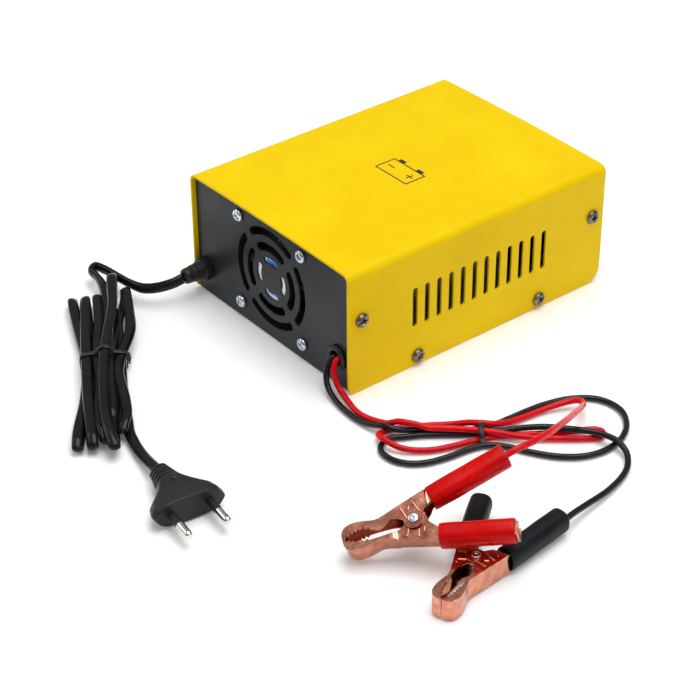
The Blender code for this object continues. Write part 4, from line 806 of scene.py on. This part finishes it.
def plug():
    stations = [(0, 3.5, 3.3, 0.5), (0.8, 4.9, 4.5, 0.55), (9, 6.6, 5.6, 0.55), (12.5, 7.4, 6.2, 0.6),
                (17, 10.5, 6.6, 0.65), (23.5, 16.2, 6.8, 0.72), (28, 17.7, 6.8, 0.74), (31.0, 17.3, 6.65, 0.74)]
    along = np.unique(np.concatenate([np.linspace(0, 1, 4), np.linspace(1, 13, 61), np.linspace(13, 31, 28)]))
    knots = np.array(stations)
    bm = bmesh.new()
    rings = []
    for a in along:
        w, h, flat = (np.interp(a, knots[:, 0], knots[:, column]) for column in (1, 2, 3))
        for groove in (2.6, 5.1, 7.6, 10.1):
            dip = 0.75 * math.exp(-((a - groove) / 0.42) ** 4)
            w -= dip
            h -= dip
        rings.append([(a * MM, y * MM, z * MM) for y, z in plug_section(w, h, flat)])
    for a, trim in ((31.25, 0.12), (31.42, 0.35), (31.5, 0.7)):
        rings.append([(a * MM, y * MM, z * MM) for y, z in plug_section(17.25 - trim, 6.6 - trim, 0.74)])
    loft(bm, rings)
    bmesh.ops.transform(bm, matrix=PLUG_TURN, verts=bm.verts)
    body = settle(object_from("plug_moulding", bm, MOULDED, 32), ["plug_body"])
    knob = [(1.9, -0.4), (1.9, 0.25), (1.7, 0.6), (1.25, 0.85), (0.6, 0.98), (0.05, 1.0)]
    bm = bmesh.new()
    loft(bm, turned_rings([(r * MM, h * MM) for r, h in knob], 28))
    bmesh.ops.transform(bm, matrix=PLUG_TURN @ Matrix.Translation((15.2 * MM, 0.4 * MM, 6.45 * MM))
                        @ Matrix.Diagonal((1.2, 0.9, 1.0, 1.0)), verts=bm.verts)
    settle(object_from("plug_bump", bm, MOULDED, 40))
    turn = PLUG_TURN.to_3x3() @ Vector((1, 0, 0))
    pins = []
    for number, side in enumerate((-1, 1), 1):
        base = PLUG_TURN @ Vector((31.8 * MM, side * 9.5 * MM, 0))
        metal = [(1.75, 0), (1.75, 7.8), (2.0, 7.9), (2.0, 14.9), (1.93, 15.7), (1.7, 16.4), (1.25, 16.85), (0.6, 17.0)]
        pin = turned(f"pin_{number}", [(r * MM, h * MM) for r, h in metal], base, turn, NICKEL, 36, 35)
        settle(pin, [f"plug_pin_{number}"])
        collar = [(2.0, -0.3), (2.0, 7.5), (1.92, 7.8), (1.74, 7.9)]
        wrap = turned(f"pin_sleeve_{number}", [(r * MM, h * MM) for r, h in collar], base, turn, MOULDED, 32, 35)
        settle(wrap)
        pins += [pin, wrap]
    return [body] + pins


def mains_cord():
    dense = mains_route()
    cord = flat_cord("mains_cord", dense)
    settle(cord, ["mains_cord_lead", "mains_cord_hank", "mains_cord_tail"])
    tie = hank_twist()
    pieces = plug()


def hank_twist():
    """Black plastic-coated twist wire: a band round the hank and two twisted ends."""
    band = [(-11.2, 3.4), (-11.3, 7.6), (-10.6, 10.2), (-7.4, 10.9), (-3.5, 11.4), (-1.6, 13.6), (0.6, 14.3),
            (3.0, 13.7), (5.2, 11.6), (8.6, 10.9), (11.0, 9.8), (11.4, 7.2), (11.3, 3.4), (10.8, 0.75),
            (5, 0.6), (-5, 0.6), (-10.6, 0.75)]
    rows = [(-3.2 + 0.5 * math.sin(k * 0.9), n, z) for k, (n, z) in enumerate(band)]
    rows.append(rows[0])
    loop = smooth_curve(rows, 8)
    bm = bmesh.new()
    tangent = np.gradient(loop, axis=0)
    tangent /= np.linalg.norm(tangent, axis=1)[:, None]
    rings = []
    for k, point in enumerate(loop):
        side = np.array((1.0, 0.0, 0.0))
        out = np.cross(side, tangent[k])
        out /= np.linalg.norm(out)
        ring = [point + 1.35 * a * side + 0.42 * b * out for a, b in circle(0, 0, 1.0, 12)]
        rings.append([Vector(p) * MM for p in ring])
    loft(bm, rings)
    for turn, phase in ((1, 0.0), (-1, math.pi)):
        strand = []
        for k in range(40):
            share = k / 39
            angle = phase + share * 5 * math.pi
            reach = 1.05 * math.sin(math.pi * min(1.0, share * 1.15 + 0.08)) ** 0.5
            strand.append((-3.4 - 1.5 * share + reach * math.cos(angle), 11.6 + 0.8 * share + reach * math.sin(angle),
                           9.6 - 7.6 * share))
        merge_tube(bm, strand, 0.5)
    bmesh.ops.transform(bm, matrix=HANK_TURN, verts=bm.verts)
    return settle(object_from("twist_tie", bm, RUBBER, 50), ["hank_tie"])


def merge_tube(bm, points, radius, segments=10):
    """Adds a round tube along points, all in mm, to a bmesh in metres."""
    path = np.array(points, dtype=float)
    tangent = np.gradient(path, axis=0)
    tangent /= np.linalg.norm(tangent, axis=1)[:, None]
    up = np.array((0.0, 0.0, 1.0)) if abs(tangent[0][2]) < 0.9 else np.array((1.0, 0.0, 0.0))
    rings = []
    for point, along in zip(path, tangent):
        side = np.cross(along, up)
        side /= np.linalg.norm(side)
        up = np.cross(side, along)
        rings.append([Vector((point + radius * (math.cos(t) * side + math.sin(t) * up)) * MM)
                      for t in (2 * math.pi * i / segments for i in range(segments))])
    loft(bm, rings)


# ---------------------------------------------------------------- clamp leads

LEAD_RADIUS = 1.5 * MM
RED_ROUTE = [
    (54.1, -74, 16.6), (54.1, -82.7, 16.6), (54.6, -85, 13.6), (55.9, -85.9, 9.3),
    (58.9, -85.9, 4.9), (62.8, -86.1, 2.7), (68.9, -87.3, 1.6), (75.9, -88.8, 1.5),
    (83, -88.8, 1.9), (90.7, -87.5, 3.2), (95.9, -86.1, 4.5), (100.3, -83.1, 6.6),
    (106.7, -78.1, 6.3), (111.2, -74, 4.9), (114.4, -70.5, 5), (120.4, -64, 4.9),
    (126, -58.2, 4.8), (130.2, -54.5, 4.8), (135.6, -49.7, 4.3), (140.9, -43.9, 3),
    (146.3, -37, 2), (154.3, -27, 1.5), (160.4, -19.2, 1.5), (163, -15, 1.5), (162.7, -11.8, 1.5),
    (160.3, -10.4, 1.5), (157.4, -11.7, 1.5), (154.4, -16.2, 1.5), (150.3, -23.9, 1.5),
    (143.2, -34.6, 1.5), (138.3, -41.9, 1.5), (134.9, -47.3, 1.5), (131.8, -53, 1.5),
    (129.5, -58.9, 1.5), (127.5, -65, 1.6), (125, -73.4, 1.7), (121.4, -81.5, 1.6),
    (116.3, -88.5, 2), (111.6, -92.7, 2.9), (104.7, -95.5, 4.6), (100.4, -95, 4),
    (98.4, -93.3, 3.1), (97.4, -90.8, 2.1), (97.5, -86.3, 1.5), (99.3, -81.2, 1.5),
    (102.8, -74.9, 1.5), (107.4, -68.3, 1.7), (113.7, -61.2, 2.6), (118.9, -56.4, 4.2),
    (123.7, -52.3, 4.8), (127.1, -47.1, 3.8), (128.8, -40.3, 2.5), (129.5, -33.2, 1.9),
    (130.9, -22.9, 2), (132.9, -15.2, 2.8), (137.5, -6.5, 4.5), (140.3, -5, 5.2),
    (141.5, -5.1, 5.5), (144.5, -7.5, 6.4), (148.8, -12.8, 10.1), (154.1, -20.2, 14.9),
    (162.3, -33.2, 22), (171.6, -49.4, 30.1), (178.3, -63.9, 35.8), (181.3, -75.8, 38.5),
    (181.1, -85.2, 38.8), (179.7, -89.6, 37.1)]
BLACK_ROUTE = [
    (50.8, -74, 16.5), (50.8, -82.7, 16.4), (51.4, -86.4, 12.4), (53.1, -88.6, 7.8),
    (56.7, -90, 4.1), (63.2, -91.3, 2), (71.9, -92.5, 1.5), (79.8, -92.8, 1.6),
    (86.9, -92.1, 2.2), (92.2, -90.9, 3.6), (97.3, -89.1, 5), (102, -86.4, 4.6),
    (104, -83.3, 3.9), (105.2, -79.5, 2.9), (107.3, -75.4, 2.3), (111, -70.1, 1.9),
    (116.9, -62.5, 1.5), (120.7, -57.4, 1.5), (123.3, -51.6, 1.5), (125.1, -44.6, 1.5),
    (125.9, -36.6, 1.5), (126.6, -27, 1.5), (128.2, -16, 1.5), (131.9, -4.6, 1.5),
    (137.3, 3.3, 1.5), (142.4, 7, 1.5), (149.9, 8.7, 1.5), (156.8, 7.3, 1.5), (164.4, 1.7, 1.5),
    (168.5, -4.1, 1.5), (171, -10.8, 1.5), (171.7, -21.1, 1.5), (168.5, -30.9, 1.5),
    (161.6, -39.5, 1.5), (151.9, -46.6, 1.5), (142.2, -52.2, 1.5), (136.7, -56.7, 1.5),
    (133.7, -61.3, 1.5), (131.8, -68.2, 1.5), (130.3, -78.5, 1.5), (127.2, -89.2, 1.5),
    (122.7, -95.7, 1.5), (116.1, -99.7, 1.5), (109.3, -100.1, 1.5), (105.3, -98.1, 1.5),
    (102.7, -93.7, 1.5), (102.7, -90, 1.5), (105.7, -84.7, 1.5), (110.1, -77.1, 1.5),
    (115.3, -70, 1.5), (121.3, -62.4, 1.5), (126.7, -54.5, 1.5), (131.2, -47, 2),
    (135.8, -40.5, 3.1), (144.1, -32, 4.8), (152.4, -24.4, 4.9), (160.5, -17.9, 4.9),
    (167.6, -14.4, 4.9), (173, -13.3, 4.6), (177.6, -13.8, 3.9), (181.8, -15.5, 3),
    (186.9, -20.3, 2.1), (190.7, -27.2, 1.8), (194.8, -41, 2.5), (197.7, -56.7, 4.5),
    (199.7, -66.8, 6), (201.3, -73.8, 6.7)]


def leads(red_pieces, black_pieces):
    for name, route, material, pieces in (("red_lead", RED_ROUTE, RED_LEAD, red_pieces),
                                          ("black_lead", BLACK_ROUTE, BLACK_LEAD, black_pieces)):
        points = smooth_curve(np.array(route) * MM, 10)
        cord = round_cord(name + "_wire", points, LEAD_RADIUS, material)
        settle(cord, [name])


def lead_band():
    """Twist wire round the six passes of the leads."""
    frame_turn = Matrix.Translation((128.2 * MM, -56.4 * MM, 0)) @ Matrix.Rotation(math.radians(48), 4, "Z")
    band = [(-7.2, 1.6), (-6.9, 2.9), (-5.2, 3.7), (-3.4, 5.6), (-1.2, 6.7), (1.2, 6.9), (3.8, 6.6), (5.4, 5.3),
            (6.6, 3.2), (7.1, 1.6), (6.2, 0.5), (2, 0.45), (-2, 0.45), (-6.2, 0.5)]
    rows = [(0.5 * math.sin(k * 1.1), n, z) for k, (n, z) in enumerate(band)]
    rows.append(rows[0])
    loop = smooth_curve(rows, 8)
    tangent = np.gradient(loop, axis=0)
    tangent /= np.linalg.norm(tangent, axis=1)[:, None]
    bm = bmesh.new()
    rings = []
    for k, point in enumerate(loop):
        side = np.array((1.0, 0.0, 0.0))
        out = np.cross(side, tangent[k])
        out /= np.linalg.norm(out)
        rings.append([Vector(point + 1.3 * a * side + 0.4 * b * out) * MM for a, b in circle(0, 0, 1.0, 12)])
    loft(bm, rings)
    bmesh.ops.transform(bm, matrix=frame_turn, verts=bm.verts)
    return settle(object_from("lead_twist_tie", bm, RUBBER, 50), ["lead_tie"])


# ---------------------------------------------------------------- clamps

def clamp_turn(location, heading, pitch, roll):
    return (Matrix.Translation(Vector(location) * MM) @ Matrix.Rotation(math.radians(heading), 4, "Z")
            @ Matrix.Rotation(math.radians(pitch), 4, "Y") @ Matrix.Rotation(math.radians(roll), 4, "X"))


HALF_WIDTH = 5.25
HANDLE_START = Vector((-8.8, 9.2, 0))
MARKS = {1: (((4.3, 6.3), (2.7, 0.9)), ((-1.1, 8.0), (-3.3, 2.6)), ((0.6, 6.0), (1.2, 4.7)), ((-4.2, 8.3), (-5.0, 6.9))),
         -1: (((2.9, 3.2), (4.3, 6.3)), ((4.4, 6.5), (6.3, 6.0)), ((-1.2, 5.0), (-0.3, 8.4)), ((-3.6, 4.9), (-3.1, 6.5)))}
LEAD_HANDLE_END = (-44.5, 18.4)


def cleaned(node):
    """The CAD piece as a bmesh with shared corners and whole flat faces."""
    bm = bmesh.new()
    bm.from_mesh(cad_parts[node].data)
    bmesh.ops.remove_doubles(bm, verts=bm.verts, dist=0.01 * MM)
    bmesh.ops.dissolve_limit(bm, angle_limit=math.radians(1.0), verts=bm.verts, edges=bm.edges)
    bmesh.ops.recalc_face_normals(bm, faces=bm.faces)
    return bm


def sharp_edges(bm, angle=35):
    return [e for e in bm.edges if len(e.link_faces) == 2 and e.calc_face_angle(0) > math.radians(angle)]


def jaw(node, turn, flip, slot_body):
    """Pressed half: folded edges rounded wide, cut edges only broken, dashes raised on its cheeks."""
    bm = cleaned(node)
    bmesh.ops.transform(bm, matrix=turn.inverted(), verts=bm.verts)
    folds = []
    for edge in sharp_edges(bm, 55):
        a, b = edge.verts[0].co, edge.verts[1].co
        flat = abs(a.z - b.z) < 0.3 * MM
        outer = min(abs(a.z), abs(b.z)) > 4.0 * MM
        normals = [face.normal for face in edge.link_faces]
        side_face = any(abs(n.z) > 0.9 for n in normals)
        back_face = any(abs(n.z) < 0.35 and n.y * flip > 0.3 for n in normals)
        if flat and outer and side_face and back_face and a.x < 30.9 * MM and b.x < 30.9 * MM:
            folds.append(edge)
    if folds:
        bmesh.ops.bevel(bm, geom=folds, offset=0.4 * MM, segments=2, profile=0.5, affect="EDGES",
                        clamp_overlap=True)
    bmesh.ops.remove_doubles(bm, verts=bm.verts, dist=0.01 * MM)
    rims = sharp_edges(bm, 50)
    if rims:
        bmesh.ops.bevel(bm, geom=rims, offset=0.16 * MM, segments=1, profile=0.5, affect="EDGES",
                        clamp_overlap=True)
    half = max(v.co.z for v in bm.verts if abs(v.co.x) < 6 * MM)
    for side in (-1, 1):
        for start, end in MARKS[flip]:
            dash(bm, (start[0], flip * start[1]), (end[0], flip * end[1]), side * half, side)
    bmesh.ops.transform(bm, matrix=turn, verts=bm.verts)
    return settle(object_from(node + "_pressing", bm, COPPER, 32), [node], slot_body)


def dash(bm, start, end, z, side):
    """A short raised rib pressed through the sheet."""
    rings = []
    angle = math.atan2(end[1] - start[1], end[0] - start[0])
    x, y = (start[0] + end[0]) / 2, (start[1] + end[1]) / 2
    half = math.dist(start, end) / 2
    for wide, rise in ((0.48, -0.05), (0.42, 0.14), (0.28, 0.27), (0.08, 0.32)):
        ring = arc(half, 0, wide, -90, 90, 5) + arc(-half, 0, wide, 90, 270, 5)
        rings.append([(a * MM, b * MM, rise * MM) for a, b in ring])
    loops = loft(bm, rings)
    place = (Matrix.Translation((x * MM, y * MM, z)) @ Matrix.Rotation(angle, 4, "Z")
             @ Matrix.Diagonal((1, 1, side, 1)))
    bmesh.ops.transform(bm, matrix=place, verts=[v for loop in loops for v in loop])


def sleeve(node, turn, flip, handle_end, past, material, body, wobble):
    """Dipped plastic tube on a handle: oval, with a soft rim, open at its end, a little uneven."""
    start = Vector((HANDLE_START.x, flip * HANDLE_START.y, 0))
    end = Vector((handle_end[0], flip * handle_end[1], 0))
    run = (end - start).normalized()
    across = Vector((-run.y, run.x, 0))
    length = (end - start).length + past
    outline = []
    for i in range(40):
        t = 2 * math.pi * (i + 0.5) / 40
        c, s = math.cos(t), math.sin(t)
        outline.append((math.copysign(abs(c) ** 0.78, c), math.copysign(abs(s) ** 0.78, s)))
    outer = [(0.0, 0.93), (0.25, 0.965), (0.8, 0.985)]
    outer += [(a, 0.99) for a in np.linspace(2, length - 2, 18)]
    outer += [(length - 0.8, 0.98), (length - 0.25, 0.96), (length, 0.93)]
    inner = [(length, 0.88), (length - 0.3, 0.85), (length - 4, 0.85), (length / 2, 0.85), (0.6, 0.85), (0.1, 0.88)]
    bm = bmesh.new()
    rings = []
    for a, size in outer + inner:
        dent = 1 - 0.028 * (0.5 + 0.5 * math.sin(a * 0.42 + wobble)) - 0.012 * math.sin(a * 0.21 + 2 * wobble)
        squeeze = 1 - 0.03 * (0.5 + 0.5 * math.sin(a * 0.33 + 1.7 * wobble))
        ring = []
        for c, s in outline:
            p = start + run * a + across * (5.25 * size * c * dent)
            ring.append(Vector((p.x, p.y, 5.75 * size * s * squeeze)) * MM)
        rings.append(ring)
    rings.append(rings[0])
    loft(bm, rings, caps=False)
    bmesh.ops.remove_doubles(bm, verts=bm.verts, dist=0.001 * MM)
    bmesh.ops.transform(bm, matrix=turn, verts=bm.verts)
    return settle(object_from(node + "_dipped", bm, material, 60), [node], body)


def rivet(node, turn):
    half = HALF_WIDTH + 0.3
    head = [(2.1, 0.0), (2.1, 0.18), (2.02, 0.32), (1.7, 0.44), (1.1, 0.5), (0.75, 0.48), (0.55, 0.3), (0.3, 0.24)]
    profile = ([(r, -half - h) for r, h in reversed(head)] + [(1.3, -half), (1.3, half)]
               + [(r, half + h) for r, h in head])
    bm = bmesh.new()
    loft(bm, turned_rings([(r * MM, h * MM) for r, h in profile], 36))
    bmesh.ops.transform(bm, matrix=turn, verts=bm.verts)
    return settle(object_from(node + "_peened", bm, RIVET_ZINC, 35), [node])


def spring(node, turn):
    """Torsion spring: a coiled wire, and each leg stays inside its own handle."""
    points = [(-21, 11.5, -2.0), (-16, 9.7, -2.0), (-10, 7.2, -2.0), (-5.5, 5.2, -2.0)]
    for i in range(57):
        t = math.radians(112 - 944 * i / 56)
        points.append((3.3 * math.cos(t), 3.3 * math.sin(t), -2.0 + 4.0 * i / 56))
    points += [(-5.5, -5.2, 2.0), (-10, -7.2, 2.0), (-16, -9.7, 2.0), (-21, -11.5, 2.0)]
    path = smooth_curve(points, 3)
    bm = bmesh.new()
    merge_tube(bm, path, 0.5, 12)
    bmesh.ops.transform(bm, matrix=turn, verts=bm.verts)
    wire = object_from(node + "_wire", bm, SPRING, 60)
    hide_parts(node)
    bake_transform(wire)
    return wire


def clamp(colour, turn, material, free_end, free_past):
    free = colour + "_free"
    pieces = [jaw(colour + "_lead_jaw", turn, 1, BODY)]
    jaw(colour + "_free_jaw", turn, -1, free)
    pieces.append(sleeve(colour + "_lead_sleeve", turn, 1, LEAD_HANDLE_END, 0.5, material, BODY, 0.6))
    sleeve(colour + "_free_sleeve", turn, -1, free_end, free_past, material, free, 2.1)
    pieces.append(rivet(colour + "_clamp_rivet", turn))
    pieces.append(spring(colour + "_clamp_spring", turn))
    return pieces


# ---------------------------------------------------------------- stage

def studio():
    """White floor and world, a broad soft lamp above, and the view of the charger."""
    floor_paint = mottled("floor_paint", (0.975, 0.975, 0.975), (0.985, 0.985, 0.985), (0.75, 0.85), 4, 300, 0.02).material
    glow = floor_paint.node_tree.nodes["Principled BSDF"].inputs
    glow["Emission Color"].default_value = (1.0, 1.0, 1.0, 1.0)
    glow["Emission Strength"].default_value = 0.08
    bm = bmesh.new()
    bmesh.ops.create_grid(bm, x_segments=8, y_segments=8, size=6.0)
    floor = object_from("studio_floor", bm, floor_paint, 30, False)
    floor.location.z = -0.0003
    bpy.context.view_layer.update()
    world = bpy.data.worlds.new("studio")
    world.use_nodes = True
    tree = world.node_tree
    sky = tree.nodes.new("ShaderNodeTexCoord").outputs["Generated"]
    split = tree.nodes.new("ShaderNodeSeparateXYZ")
    tree.links.new(sky, split.inputs["Vector"])
    ramp = tree.nodes.new("ShaderNodeMapRange")
    tree.links.new(split.outputs["Z"], ramp.inputs["Value"])
    for socket, value in (("From Min", 0.0), ("From Max", 0.9), ("To Min", 0.16), ("To Max", 0.44)):
        ramp.inputs[socket].default_value = value
    background = tree.nodes["Background"]
    background.inputs["Color"].default_value = (1.0, 1.0, 1.0, 1.0)
    tree.links.new(ramp.outputs["Result"], background.inputs["Strength"])
    bpy.context.scene.world = world
    for name, place, target, size, power in (
            ("overhead", (0.15, 0.10, 1.5), (0.03, -0.05, 0.0), (1.5, 1.1), 19.3),
            ("left_box", (-1.1, -0.9, 0.9), (0.0, -0.1, 0.03), (1.2, 0.9), 4.2),
            ("right_box", (1.4, 0.3, 0.8), (0.06, 0.0, 0.03), (1.2, 0.9), 3.2)):
        lamp = bpy.data.lights.new(name, "AREA")
        lamp.shape = "RECTANGLE"
        lamp.size, lamp.size_y = size
        lamp.energy = power
        box = link(bpy.data.objects.new(name, lamp))
        box.location = place
        box.rotation_euler = (Vector(target) - Vector(place)).to_track_quat("-Z", "Y").to_euler()
    azimuth, elevation, roll = (math.radians(a) for a in (51.331, 34.274, -0.273))
    back = Vector((math.sin(azimuth) * math.cos(elevation), -math.cos(azimuth) * math.cos(elevation),
                   math.sin(elevation)))
    right = Vector((math.cos(azimuth), math.sin(azimuth), 0.0))
    up = back.cross(right)
    tilted_right = right * math.cos(roll) + up * math.sin(roll)
    tilted_up = up * math.cos(roll) - right * math.sin(roll)
    matrix = Matrix((tilted_right, tilted_up, back)).transposed().to_4x4()
    matrix.translation = (0.686125, -0.580640, 0.570347)
    lens = bpy.data.cameras.new("view")
    lens.lens = 105.70
    lens.sensor_width = 36
    lens.clip_end = 10
    camera = link(bpy.data.objects.new("view", lens))
    camera.matrix_world = matrix
    bpy.context.scene.camera = camera
    bpy.context.scene.view_settings.view_transform = "Standard"


cover_sheet()
chassis_sheet()
screws()
bushes()
insides()
fan_wires()
top_mark()
mains_cord()
RED_TURN = clamp_turn((172.0, -133.9, 17.1), -122.4, 16.7, 180 - 22.6)
BLACK_TURN = clamp_turn((198.9, -123.2, 6.15), -68.7, 0.64, 0)
red_clamp = clamp("red", RED_TURN, RED_SLEEVE, (-41.5, 17.6), -1.5)
black_clamp = clamp("black", BLACK_TURN, BLACK_SLEEVE, (-37.5, 16.6), 1.0)
band = lead_band()
leads([red_clamp[1], band], [black_clamp[1], band])
studio()
